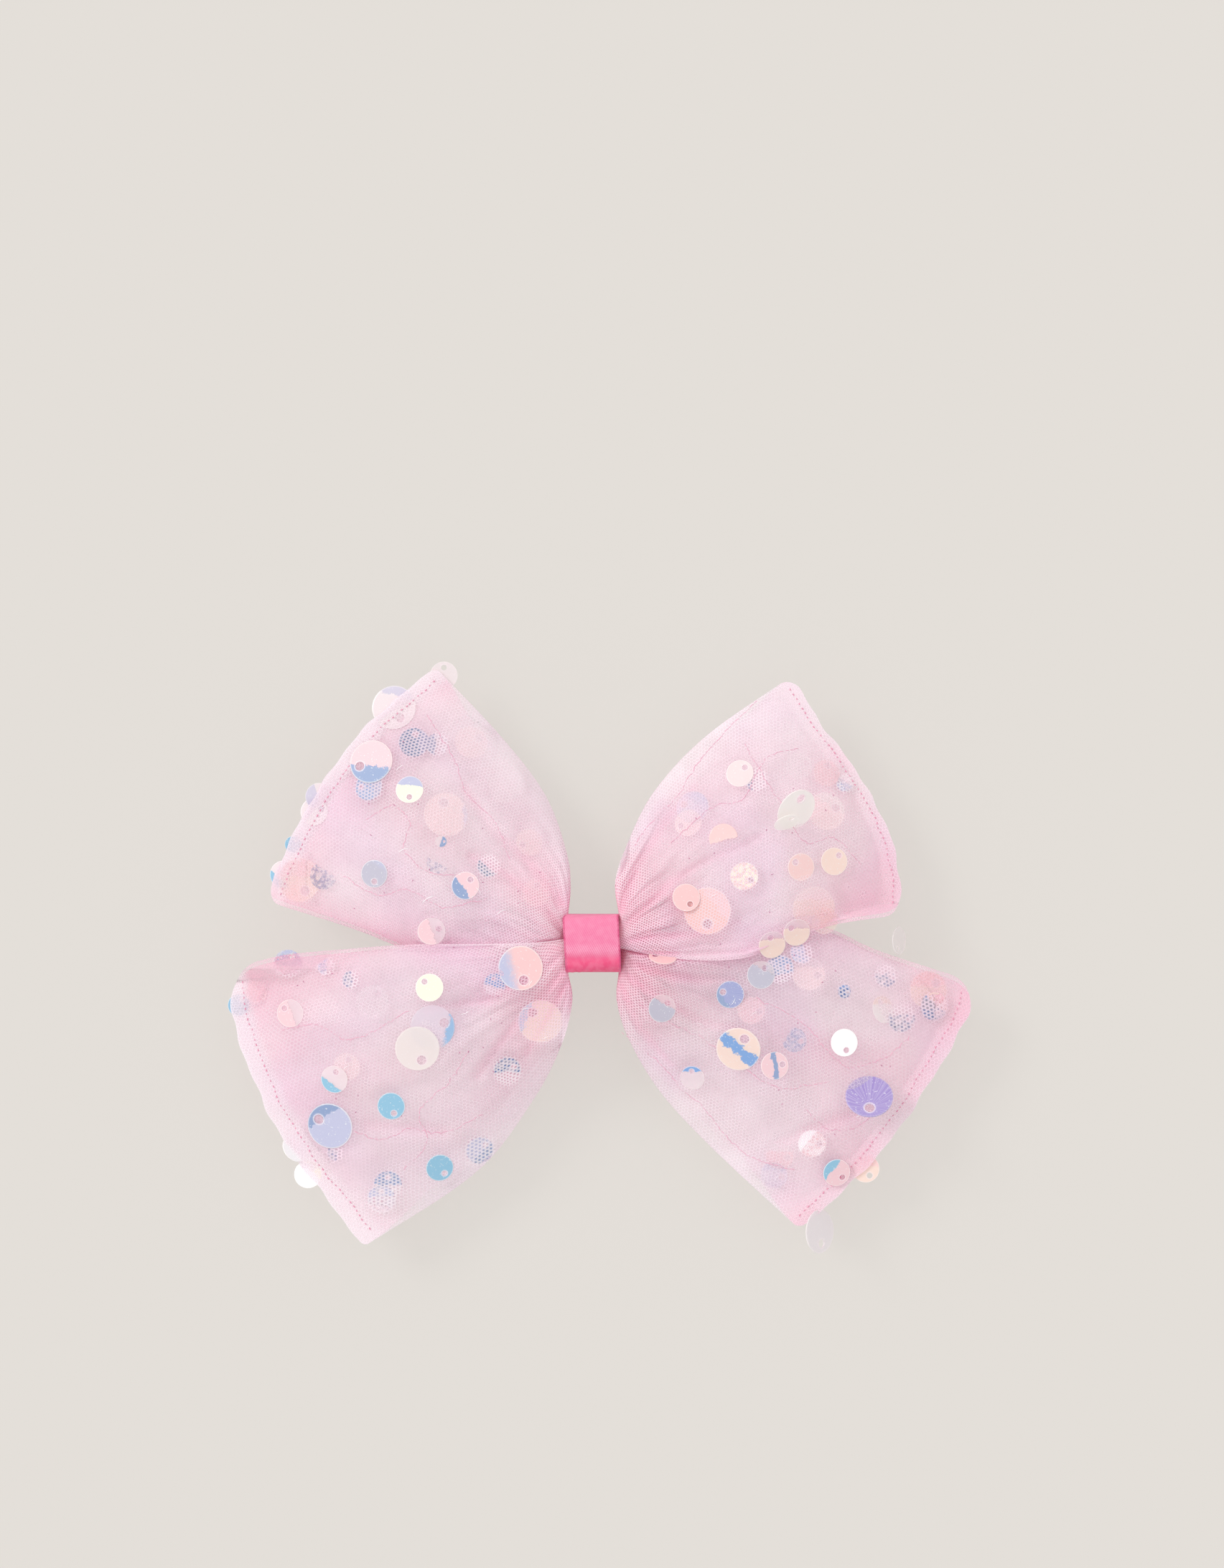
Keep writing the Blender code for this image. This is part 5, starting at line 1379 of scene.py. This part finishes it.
def make_film_material():
    """Pearly film: two tints with a ragged border, painted highlights on rim and streaks, soft
    gloss.
    """
    material, tree, shader = new_material(
        "pearl_film", Roughness=0.4, Specular_IOR_Level=0.3, Coat_Weight=0.12, Coat_Roughness=0.2)
    disc = vector_calc(tree, "MULTIPLY", attribute(tree, "disc", "Vector"), (1, 1, 0))
    place = object_place(tree)
    cut = attribute(tree, "cut", "Vector")
    start = put(tree, "ShaderNodeSeparateXYZ", {0: cut}).outputs["Z"]
    level = vector_calc(tree, "DOT_PRODUCT", disc, cut)
    ragged = calc(tree, "SUBTRACT", noise(tree, place, RAGGED_SCALE, 5.0, 0.72), 0.5)
    strayed = calc(tree, "MULTIPLY_ADD", ragged, RAGGED_BORDER, level)
    past = calc(tree, "SUBTRACT", strayed, start)
    border = attribute(tree, "border")
    share = ramp(tree, calc(tree, "DIVIDE", past, border), -1, 1)
    within = calc(tree, "SUBTRACT", attribute(tree, "band"), past)
    share = calc(tree, "MULTIPLY", share, ramp(tree, calc(tree, "DIVIDE", within, border), -1, 1))
    flecks = ramp(tree, noise(tree, place, FLECK_SCALE), 0.48, 0.53)
    flecked = calc(tree, "MULTIPLY", flecks, attribute(tree, "flecks"))
    share = calc(tree, "MAXIMUM", share, flecked)
    film, patch = (put(tree, "ShaderNodeAttribute", attribute_name=key).outputs
                   for key in ("film", "patch"))
    tint = blend_colour(tree, share, film["Color"], patch["Color"])
    from_hole = vector_calc(tree, "SUBTRACT", disc, (HOLE_OFFSET, 0, 0))
    parts = put(tree, "ShaderNodeSeparateXYZ", {0: from_hole}).outputs
    angle = calc(tree, "ARCTAN2", parts["Y"], parts["X"])
    rays = put(tree, "ShaderNodeTexNoise", {
        "W": calc(tree, "MULTIPLY", angle, RAYS_ROUND),
        "Scale": 1.6, "Detail": 5.0, "Roughness": 0.75},
        noise_dimensions="1D").outputs["Fac"]
    # painted highlights along rays out from the hole
    streaks = calc(tree, "MULTIPLY", ramp(tree, rays, 0.42, 0.62), attribute(tree, "streaks"))
    tint = blend_colour(tree, calc(tree, "MULTIPLY", streaks, 0.24), tint, RAY_HIGHLIGHT)
    radius = vector_calc(tree, "LENGTH", disc)
    # painted highlight on the rim
    rim = ramp(tree, radius, *RIM_EDGE, 0.0, 0.6)
    rim = calc(tree, "MULTIPLY", rim, attribute(tree, "rim"))
    tint = blend_colour(tree, rim, tint, RIM_HIGHLIGHT)
    # painted highlight round the hole
    hole_rim = ramp(tree, vector_calc(tree, "LENGTH", from_hole), *HOLE_EDGE, 0.55, 0.0)
    tint = blend_colour(tree, hole_rim, tint, HOLE_HIGHLIGHT)
    # painted glints: a few white specks
    sparkle = ramp(tree, noise(tree, place, SPARKLE_SCALE, 1.0), 0.66, 0.72, 0.0, 0.55)
    tint = blend_colour(tree, sparkle, tint, WHITE)
    tree.links.new(tint, shader.inputs["Base Color"])
    cover = put(tree, "ShaderNodeMix", {0: share, 2: film["Alpha"], 3: patch["Alpha"]}).outputs[0]
    cover = calc(tree, "MAXIMUM", cover, calc(tree, "MULTIPLY", rim, 0.9))
    cover = calc(tree, "MULTIPLY", cover, attribute(tree, "strength"))
    tree.links.new(cover, shader.inputs["Alpha"])
    return material


film = make_film_material()
print("film material:", len(film.node_tree.nodes), "nodes")

# %% [markdown]
# The sequins could all be one piece, but the frame has its plain discs lobe by lobe.  So they are
# grown one lobe at a time, and each piece stands for the plain discs on its lobe.  The nets are
# written back afterwards, pressed flat and opened at the sequins.

# %% Sequins
# y of the line between the upper and the lower lobe's sequins, on each side
SEQUINS_PART = {"left": 1.0 * MM, "right": -2.0 * MM}


def lobe_at(x, y):
    """The lobe that a place belongs to."""
    side = "left" if x < 0 else "right"
    return f"upper_{side}" if y > SEQUINS_PART[side] else f"lower_{side}"


discs = {lobe: [] for lobe in LOBES}
for node in sorted(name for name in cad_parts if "_sequin_" in name):
    middle = sum(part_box(node), Vector()) / 2
    discs[lobe_at(middle.x, middle.y)].append(node)
for lobe in ("upper_left", "upper_right", "lower_left", "lower_right"):
    own = [entry for entry in SEQUINS if lobe_at(entry[0] * MM, entry[1] * MM) == lobe]
    piece = grow(f"sequins_{lobe}", sequin_points(own), scatter_tree,
                 {"Blank": blank, "Finish": film})
    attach(piece, "bow")
    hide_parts(*discs[lobe])
    print(f"{piece.name}: {len(own)} sequins for {len(discs[lobe])} solids")
bpy.data.objects.remove(blank)
for band, (places, _) in faces.items():
    mesh = tulle[f"{band}_tulle"].data
    mesh.vertices.foreach_set("co", places.ravel())
    mesh.attributes["bare"].data.foreach_set("value", bared[band].astype(np.float32))
    mesh.update()
print("tulle pressed flat at the sequins")

# %% [markdown]
# Pink thread shows in three places: the stitches that shut the sewn ends, the fine chain-stitched
# lines that carried the sequins across the net, and stray knots.  Clear thread shows only as short
# white glints beside the sequins it holds.  The seams follow from the lobes' shape.  The lines and
# the glints follow no rule, so they are drawn one by one, seen from above, and dropped on the
# tulle later.

# %% Lines of thread
# drawn lines in mm that the chain stitches follow
CHAIN_LINES = [
    [(-43, -34), (-38, -35.5), (-33, -33.5), (-27, -34.3), (-20, -31)],
    [(-34, -41), (-30, -36), (-31, -30), (-26, -25), (-22, -19)],
    [(-56, -16), (-50, -14.5), (-44, -17.5), (-38, -15), (-33, -12)],
    [(-41, 22), (-36, 24.5), (-33, 21.5), (-34, 17), (-30, 13), (-24, 12)],
    [(-45, 12), (-39, 8.5), (-33, 9.5), (-27, 6.5), (-19, 8)],
    [(-30, 41), (-25, 33), (-23, 27), (-18, 22), (-15, 15)],
    [(7, 17), (10, 21), (15, 26), (18, 31), (22, 36), (29.5, 43.5)],
    [(14, 18), (21, 24), (27, 26), (31, 33), (37, 35)],
    [(48, 14), (43, 19), (38, 18), (33, 26), (27, 36)],
    [(5, -10), (10, -12), (15, -15), (20, -17.5), (25, -21), (33, -26), (42, -25)],
    [(5, -16), (12, -22), (16, -26.5), (20, -30), (27, -38), (36, -41)],
    [(29, -10), (37, -14), (45, -22), (52, -21), (57, -17)],
    [(38, -30), (42, -33.5), (48, -33), (53, -27)],
]
# clear thread beside its sequins, drawn white as a painted glint: a place in mm, a heading and a
# length
GLINTS = [
    (-11.2, -7.3, 60, 1.8), (-29.6, 7.8, 30, 2.4), (-34.0, 16.6, 20, 2.0),
    (25.0, -10.4, 240, 1.7), (-48.4, -32.3, 120, 1.3), (48.0, -30.7, 225, 2.2),
    (48.4, -30.5, 215, 1.8), (-44.4, -22.4, 40, 1.2), (-12.2, -11.8, 10, 1.4),
    (34.0, -6.8, 15, 1.3), (-20.6, 9.4, 310, 1.5), (19.0, -14.6, 340, 1.4),
    (28.8, -12.6, 30, 1.3), (-8.5, -17.0, 20, 1.1), (27.2, 13.4, 20, 1.6),
    (26.2, 10.6, 345, 1.5), (-34.8, 31.4, 40, 1.7), (-16.4, 5.6, 30, 1.9),
    (-23.0, -12.4, 200, 1.6), (21.5, 8.5, 20, 1.2), (-36.0, -44.8, 30, 1.4),
    (33.0, -42.5, 60, 1.2), (12.0, 7.0, 40, 1.4),
]
print(len(CHAIN_LINES), "chain-stitched lines and", len(GLINTS), "glints drawn")

# %% [markdown]
# Every stitch, knot and glint is one short length of thread, a little bent and rounded at its
# ends.  A whole line could be one long tube, but a row of separate stitches looks sewn, and one
# small closed blank of six sides does for all of them, since there are hundreds.

# %% Thread blank
THREAD_SIDES = 6
THREAD_TAPER = np.array([0.4, 0.9, 1, 1, 1, 0.9, 0.4])     # from end to end
THREAD_BEND = 0.10                     # of its length


def thread_blank(name, thickness):
    """A length of thread 1 long and as thick as given, with rounded ends."""
    sides, rings = THREAD_SIDES, len(THREAD_TAPER)
    steps = np.linspace(-0.5, 0.5, rings)
    radii = thickness / 2 * THREAD_TAPER
    angles = np.linspace(0, math.tau, sides, endpoint=False)
    bend = THREAD_BEND * (1 - (2 * steps) ** 2)
    points = [(x, rise + r * math.cos(t), r * math.sin(t))
              for x, r, rise in zip(steps, radii, bend) for t in angles]
    faces = []
    for ring in range(rings - 1):
        for side in range(sides):
            near, far = ring * sides, (ring + 1) * sides
            after = (side + 1) % sides
            faces.append((near + side, near + after, far + after, far + side))
    last = (rings - 1) * sides
    faces += [tuple(range(sides - 1, -1, -1)), tuple(range(last, last + sides))]
    mesh = bpy.data.meshes.new(name)
    mesh.from_pydata(points, [], faces)
    mesh.shade_smooth()
    return bpy.data.objects.new(name, mesh)


print("a stitch has", THREAD_SIDES * (len(THREAD_TAPER) - 1) + 2, "faces")

# %% [markdown]
# A machine makes even stitches, but gathered net pulls them about.  Stitches are laid a spacing
# apart along each line, then moved and shortened by chance, with a fixed seed, so that the bow
# comes out the same each time.  The seams' lines are read from the same patch as the lobes, at the
# share of their length where they are stitched.

# %% Stitches, knots and glints
SEAM_PINK = (0.80, 0.34, 0.47, 1)
CHAIN_PINK = (0.84, 0.46, 0.58, 1)
KNOT_PINK = (0.50, 0.16, 0.30, 1)
SEAM_STITCH = {"spacing": 0.95 * MM, "length": 0.46 * MM, "tint": SEAM_PINK, "stray": 0.13 * MM}
CHAIN_STITCH = {"spacing": 0.85 * MM, "length": 0.95 * MM, "tint": CHAIN_PINK, "stray": 0.14 * MM}
UNEVEN_STITCH = (0.7, 1.1)             # shortest and longest, as shares of the length
SEAM_ENDS = (0.03, 0.97)               # shares across the lobe where a seam starts and stops
SEAM_POINTS = 12
KNOTS_PER_LOBE = 16
KNOTS_WITHIN = (0.25, 0.92)            # shares of the lobe, both ways
KNOT_LENGTH = 0.30 * MM


def laid_along(line, spacing, length, tint, stray):
    """Rows of a place, a heading, a length and a tint for stitches along a line in metres."""
    line = np.asarray(line, float)
    total = np.linalg.norm(np.diff(line, axis=0), axis=1).sum()
    places = smooth_line(line, np.linspace(0, 1, max(3, int(total / spacing))))
    places = places + chance.normal(0, stray, places.shape)
    steps = np.diff(places, axis=0)
    rows = []
    for (x, y), (run, rise) in zip(places[:-1] + steps / 2, steps):
        drawn = length * chance.uniform(*UNEVEN_STITCH)
        rows.append((x, y, math.atan2(rise, run), drawn, tint))
    return rows


chance = np.random.default_rng(21)
seams, chains, knots = [], [], []
for lobe in LOBES:
    shares = np.linspace(*SEAM_ENDS, SEAM_POINTS)[None, :]
    line = lobe_plan(lobe, np.full((1, SEAM_POINTS), STITCHED_AT[lobe]), shares)[0]
    seams += laid_along(line, **SEAM_STITCH)
    for _ in range(KNOTS_PER_LOBE):
        x, y = lobe_plan(lobe, *chance.uniform(*KNOTS_WITHIN, (2, 1, 1)))[0, 0]
        knots.append((x, y, chance.uniform(0, math.pi), KNOT_LENGTH, KNOT_PINK))
for line in CHAIN_LINES:
    chains += laid_along(np.array(line) * MM, **CHAIN_STITCH)
# the clear thread is given white: a painted glint
glints = [(x * MM, y * MM, math.radians(heading), length * MM, WHITE)
          for x, y, heading, length in GLINTS]
print(len(seams), "stitches in the seams,", len(chains), "in the lines,", len(knots), "knots")

# %% [markdown]
# The threads are dropped on the uppermost tulle and turned to lie flat on it.  Each kind could
# have a tree and a material of its own, but the tree that set the sequins can grow them too, from
# a blank of the right thickness, and one yarn material reads its tint from the point.

# %% Threads
STITCH_BED = 0.9 * MM                  # radius of the tulle that a stitch lies on
# the rows of each kind, how thick a thread is for its length, and how far above the net it lies
THREADS = {
    "seam_stitches": (seams + knots, 0.50, 0.03 * MM),
    "chain_stitches": (chains, 0.14, 0.03 * MM),
    "thread_glints": (glints, 0.055, 0.22 * MM),
}


def thread_cloud(name, rows, lift):
    """Points on the uppermost tulle that carry each stitch's turn, length and tint."""
    places, turns, lengths, tints = [], [], [], []
    for x, y, heading, length, tint in rows:
        lengths.append(length)
        tints.append(tint)
        level, slope_x, slope_y = lie_flat(x, y, STITCH_BED)
        normal = Vector((-slope_x, -slope_y, 1)).normalized()
        flat = Vector((0, 0, 1)).rotation_difference(normal).to_matrix()
        turns.append(tuple((flat @ Matrix.Rotation(heading, 3, "Z")).to_euler()))
        places.append((x, y, level + lift))
    return point_cloud(name, places, {"turn": turns, "diameter": lengths, "tint": tints})


yarn, tree, shader = new_material("sewing_thread", Roughness=0.6)
tree.links.new(attribute(tree, "tint", "Color"), shader.inputs["Base Color"])
for name, (rows, thickness, lift) in THREADS.items():
    thread_shape = thread_blank(name + "_blank", thickness)
    piece = grow(name, thread_cloud(name, rows, lift), scatter_tree,
                 {"Blank": thread_shape, "Finish": yarn})
    bpy.data.objects.remove(thread_shape)
    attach(piece, "bow")
    print(name, len(rows))

# %% [markdown]
# The knot is a strip of satin ribbon wrapped once round the gathers and the clip's arm.  It could
# be a box with rounded edges, but ribbon is drawn tight over what is under it, so it dips, swells
# and cups.  It is drawn as a closed path round a soft-cornered box and swept along the
# clip, a little askew, with the raw lower edge straying.  A Solidify modifier gives it its wall.

# %% Shape of the knot ribbon
RIBBON_ROUND = 160
RIBBON_WIDE = 48
RIBBON_THICKNESS = 0.35 * MM
RIBBON_TURN = math.radians(3.3)
RIBBON_SHIFT = 0.25 * MM               # of its top to the left
RIBBON_SQUARENESS = 5.0                # 2 is an ellipse, more is closer to a box
PATH_STEPS = 4001                      # fine enough to measure the way round
UNDER_GAP = 0.3 * MM                   # between the underside and the clip's arm
TOP_LAYER = (3.0 * MM, 1.0 * MM)       # below its highest point, where the top begins, is full
NARROWING = 0.02                       # share of the width lost towards the lower edge
NARROWED = (-1.0 * MM, -6.0 * MM)      # along Y, where it begins and is full
RAW_EDGE = (-3.9 * MM, -4.9 * MM)      # where the raw lower edge begins to stray, and strays fully
RAW_WAVER = 0.07 * MM
RAW_WAVES = ((17, 0), (29, 1))         # radians over half the width, and a phase
# depth, place along Y and half width of the hollow and of the swell over the gathers
DIP = (0.28 * MM, -2.6 * MM, 0.9 * MM)
SWELL = (0.12 * MM, 1.4 * MM, 2.4 * MM)
CUP = 0.10 * MM                        # how far the sides curl down


def ribbon_path(steps):
    """Points in YZ and distance round a soft-cornered box, from the middle of its underside."""
    half_y = ribbon_high.y - RIBBON_THICKNESS / 2
    low = ribbon_low.z + RIBBON_THICKNESS * 1.5 + UNDER_GAP
    high = ribbon_high.z - RIBBON_THICKNESS / 2
    centre = (low + high) / 2
    half_z = (high - low) / 2
    angles = np.linspace(-math.pi / 2, 1.5 * math.pi, PATH_STEPS)
    power = 2 / RIBBON_SQUARENESS
    y = half_y * np.sign(np.cos(angles)) * np.abs(np.cos(angles)) ** power
    z = centre + half_z * np.sign(np.sin(angles)) * np.abs(np.sin(angles)) ** power
    length = np.concatenate([[0], np.cumsum(np.hypot(np.diff(y), np.diff(z)))])
    shares = np.linspace(0, length[-1], steps)
    return np.interp(shares, length, y), np.interp(shares, length, z), shares


def hump(y, height, middle, width):
    return height * np.exp(-((y - middle) / width) ** 2)


def ribbon_mesh():
    y, z, distance = ribbon_path(RIBBON_ROUND + 1)
    across = np.linspace(-1, 1, RIBBON_WIDE + 1)[None, :]
    y, z = y[:, None], z[:, None]
    half = (ribbon_high.x - ribbon_low.x) / 2
    top = smoothstep(*(ribbon_high.z - below for below in TOP_LAYER), z)
    narrowed = 1 - NARROWING * smoothstep(*NARROWED, y)
    flat_x = across * half * narrowed - RIBBON_SHIFT * top
    x = flat_x - RIBBON_TURN * y * top
    y_skew = y + RIBBON_TURN * flat_x * top
    raw_edge = smoothstep(*RAW_EDGE, y) * top
    waver = sum(np.sin(pitch * across + phase) for pitch, phase in RAW_WAVES)
    y_skew = y_skew + RAW_WAVER * raw_edge * waver
    z = z - hump(y, *DIP) * top + hump(y, *SWELL) * top - CUP * across**2 * top
    points = np.dstack([x + 0 * y, y_skew + 0 * x, z + 0 * x])[:-1].reshape(-1, 3)
    columns = RIBBON_WIDE + 1
    corners = np.array([
        (row * columns + column, row * columns + column + 1,
         (row + 1) * columns + column + 1, (row + 1) * columns + column)
        for row in range(RIBBON_ROUND) for column in range(RIBBON_WIDE)])
    mesh = bpy.data.meshes.new("knot_satin")
    mesh.from_pydata(points.tolist(), [], (corners % len(points)).tolist())
    layer = mesh.uv_layers.new(name="cloth")
    place = np.dstack(np.broadcast_arrays(across * half, distance[:, None])).reshape(-1, 2)
    layer.uv.foreach_set("vector", place[corners.ravel()].astype(np.float32).ravel())
    mesh.shade_smooth()
    return mesh


print("ribbon is", round(ribbon_path(9)[2][-1] / MM, 1), "mm round")

# %% [markdown]
# Satin is woven with long floats, which give a fine diagonal rib and a broad, soft shine.  The
# weave could be a tiled picture, but two sine waves on the ribbon's own map make it at its true
# pitch.  Where the ribbon is stretched over the swell of the gathers its ribs get a painted
# highlight, the pink is darkened as painted shade where it rolls under, and the sides have a
# darker selvedge with its row of stitch dots.

# %% Satin
RIB_PITCH = 0.34 * MM
RIB_SLANT = 0.55                       # along the ribbon for each step across
FLOAT_PITCH = 0.22 * MM
DOT_PITCH = 0.9 * MM
SELVEDGE = (0.42 * MM, 0.25 * MM)      # from the side, where it begins and where it is full
# the band where the ribs get a painted highlight
HIGHLIGHT_BAND = (-3.0 * MM, -1.6 * MM, -0.9 * MM, 0.3 * MM)     # along Y: from, full, full, to
# along Y, where the painted shade of the roll under begins and is full
ROLLS_UNDER = (-1.0 * MM, -3.6 * MM)
WEAVE_RELIEF = 0.04 * MM
SATIN_DARK = (0.86, 0.17, 0.34, 1)
SATIN_LIGHT = (0.94, 0.26, 0.45, 1)
SATIN_HIGHLIGHT = (1.0, 0.48, 0.64, 1)
SATIN_SHADE = (0.84, 0.06, 0.19, 1)
SATIN_SELVEDGE = (0.66, 0.07, 0.20, 1)
SATIN_MOTTLE = (1.0, 0.46, 0.62, 1)


def waves(tree, place, pitch):
    return calc(tree, "SINE", calc(tree, "MULTIPLY", place, math.tau / pitch))


def make_satin_material():
    material, tree, shader = new_material(
        "pink_satin", Roughness=0.42, Specular_IOR_Level=0.40, Sheen_Weight=0.12,
        Anisotropic=0.5)
    place = put(tree, "ShaderNodeUVMap", uv_map="cloth").outputs[0]
    split = put(tree, "ShaderNodeSeparateXYZ", {0: place}).outputs
    slant = calc(tree, "ADD", split["X"], calc(tree, "MULTIPLY", split["Y"], RIB_SLANT))
    rib = waves(tree, slant, RIB_PITCH)
    float_yarn = waves(tree, split["Y"], FLOAT_PITCH)
    weave = calc(tree, "MULTIPLY_ADD", float_yarn, 0.35, rib)
    side = calc(tree, "ABSOLUTE", split["X"])
    selvedge = ramp(tree, side, *(ribbon_high.x - inwards for inwards in SELVEDGE))
    colour = blend_colour(tree, ramp(tree, weave, -1.2, 1.2), SATIN_DARK, SATIN_LIGHT)
    level = put(tree, "ShaderNodeSeparateXYZ", {0: object_place(tree)}).outputs["Y"]
    # painted highlight: the ribs are lightened in a band across the top, over the swell of the
    # gathers
    opens, opened, full, closed = HIGHLIGHT_BAND
    highlight_band = calc(tree, "MULTIPLY", ramp(tree, level, opens, opened),
                      ramp(tree, level, closed, full))
    lit_rib = calc(tree, "MULTIPLY", highlight_band, ramp(tree, weave, 0.0, 1.0, 0.0, 0.75))
    colour = blend_colour(tree, lit_rib, colour, SATIN_HIGHLIGHT)
    # painted shade: the pink is darkened where the ribbon rolls under
    rolled = ramp(tree, level, *ROLLS_UNDER, 0.0, 0.9)
    colour = blend_colour(tree, rolled, colour, SATIN_SHADE)
    dots = waves(tree, split["Y"], DOT_PITCH)
    selvedge = calc(tree, "MULTIPLY", selvedge, ramp(tree, dots, 0.2, 0.9, 0.75, 1.0))
    colour = blend_colour(tree, selvedge, colour, SATIN_SELVEDGE)
    mottle = ramp(tree, noise(tree, place, 700.0), 0.35, 0.7, 0.0, 0.18)
    colour = blend_colour(tree, mottle, colour, SATIN_MOTTLE)
    tree.links.new(colour, shader.inputs["Base Color"])
    bump = put(tree, "ShaderNodeBump", {
        "Height": weave, "Strength": 0.3, "Distance": WEAVE_RELIEF})
    tree.links.new(bump.outputs[0], shader.inputs["Normal"])
    return material


ribbon = bpy.data.objects.new("knot_satin", ribbon_mesh())
scene.collection.objects.link(ribbon)
ribbon.data.materials.append(make_satin_material())
wall = ribbon.modifiers.new("wall", "SOLIDIFY")
wall.thickness = RIBBON_THICKNESS
wall.offset = 0
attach(ribbon, "bow")
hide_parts("knot_ribbon")
print("ribbon sewn on as", ribbon.name)

# %% [markdown]
# The clip's stamped arms, its pin and its spring keep their solids, which already have the right
# shape, and get a finish.  Nickel plate is bright and slightly yellow; the pin and the spring are
# plain steel.  One even roughness would look like plastic film, so noise stretched along the arms
# stands for the faint long scratches of a tumbled stamping, and slower noise for dull patches.
# The thread that gathers the tulle is twisted, which slanted bands of two pinks show.

# %% Clip and thread finishes
SCRATCH_SCALE = (120.0, 1600.0, 1600.0)     # per metre: 13 times finer across the arms
DULL_SCALE = 180.0
SCRATCH_DEPTH = 0.02 * MM
SCRATCH_ROUGH = 0.12                   # what scratches and dull patches add to the roughness
DULL_ROUGH = 0.1
WORN = 0.82                            # brightness of the dull patches
TWIST_SCALE = 900.0


def make_metal(name, colour, roughness):
    material, tree, shader = new_material(name, Metallic=1.0)
    place = object_place(tree)
    stretched = vector_calc(tree, "MULTIPLY", place, SCRATCH_SCALE)
    scratches = noise(tree, stretched, 1.0, 3.0)
    dull = noise(tree, place, DULL_SCALE)
    rough = calc(tree, "ADD", ramp(tree, scratches, 0.3, 0.7, 0.0, SCRATCH_ROUGH),
                 ramp(tree, dull, 0.3, 0.7, roughness, roughness + DULL_ROUGH))
    tree.links.new(rough, shader.inputs["Roughness"])
    worn = tuple(WORN * c for c in colour)
    tint = blend_colour(tree, ramp(tree, dull, 0.35, 0.75), (*colour, 1), (*worn, 1))
    tree.links.new(tint, shader.inputs["Base Color"])
    bump = put(tree, "ShaderNodeBump", {
        "Height": scratches, "Strength": 0.12, "Distance": SCRATCH_DEPTH})
    tree.links.new(bump.outputs[0], shader.inputs["Normal"])
    return material


def make_thread_material(name, colour, lighter):
    material, tree, shader = new_material(name, Roughness=0.65, Sheen_Weight=0.2)
    place = object_place(tree)
    twist = put(tree, "ShaderNodeTexWave", {
        "Vector": place, "Scale": TWIST_SCALE, "Distortion": 2.0}, bands_direction="DIAGONAL")
    tint = blend_colour(tree, twist.outputs["Fac"], (*colour, 1), (*lighter, 1))
    tree.links.new(tint, shader.inputs["Base Color"])
    return material


nickel = make_metal("nickel_plate", (0.80, 0.78, 0.74), 0.18)
pin_steel = make_metal("pin_steel", (0.66, 0.66, 0.66), 0.25)
spring_steel = make_metal("spring_steel", (0.50, 0.50, 0.53), 0.3)
pink_thread = make_thread_material("pink_thread", (0.86, 0.34, 0.50), (0.94, 0.52, 0.64))
finishes = {
    "clip_upper_arm": nickel, "clip_lower_arm": nickel, "clip_pin": pin_steel,
    "clip_spring": spring_steel, "gathering_thread": pink_thread,
}
for node, material in finishes.items():
    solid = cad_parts[node]
    if not solid.material_slots:
        solid.data.materials.append(None)
    for slot in solid.material_slots:
        slot.material = material
print("finished", ", ".join(finishes))
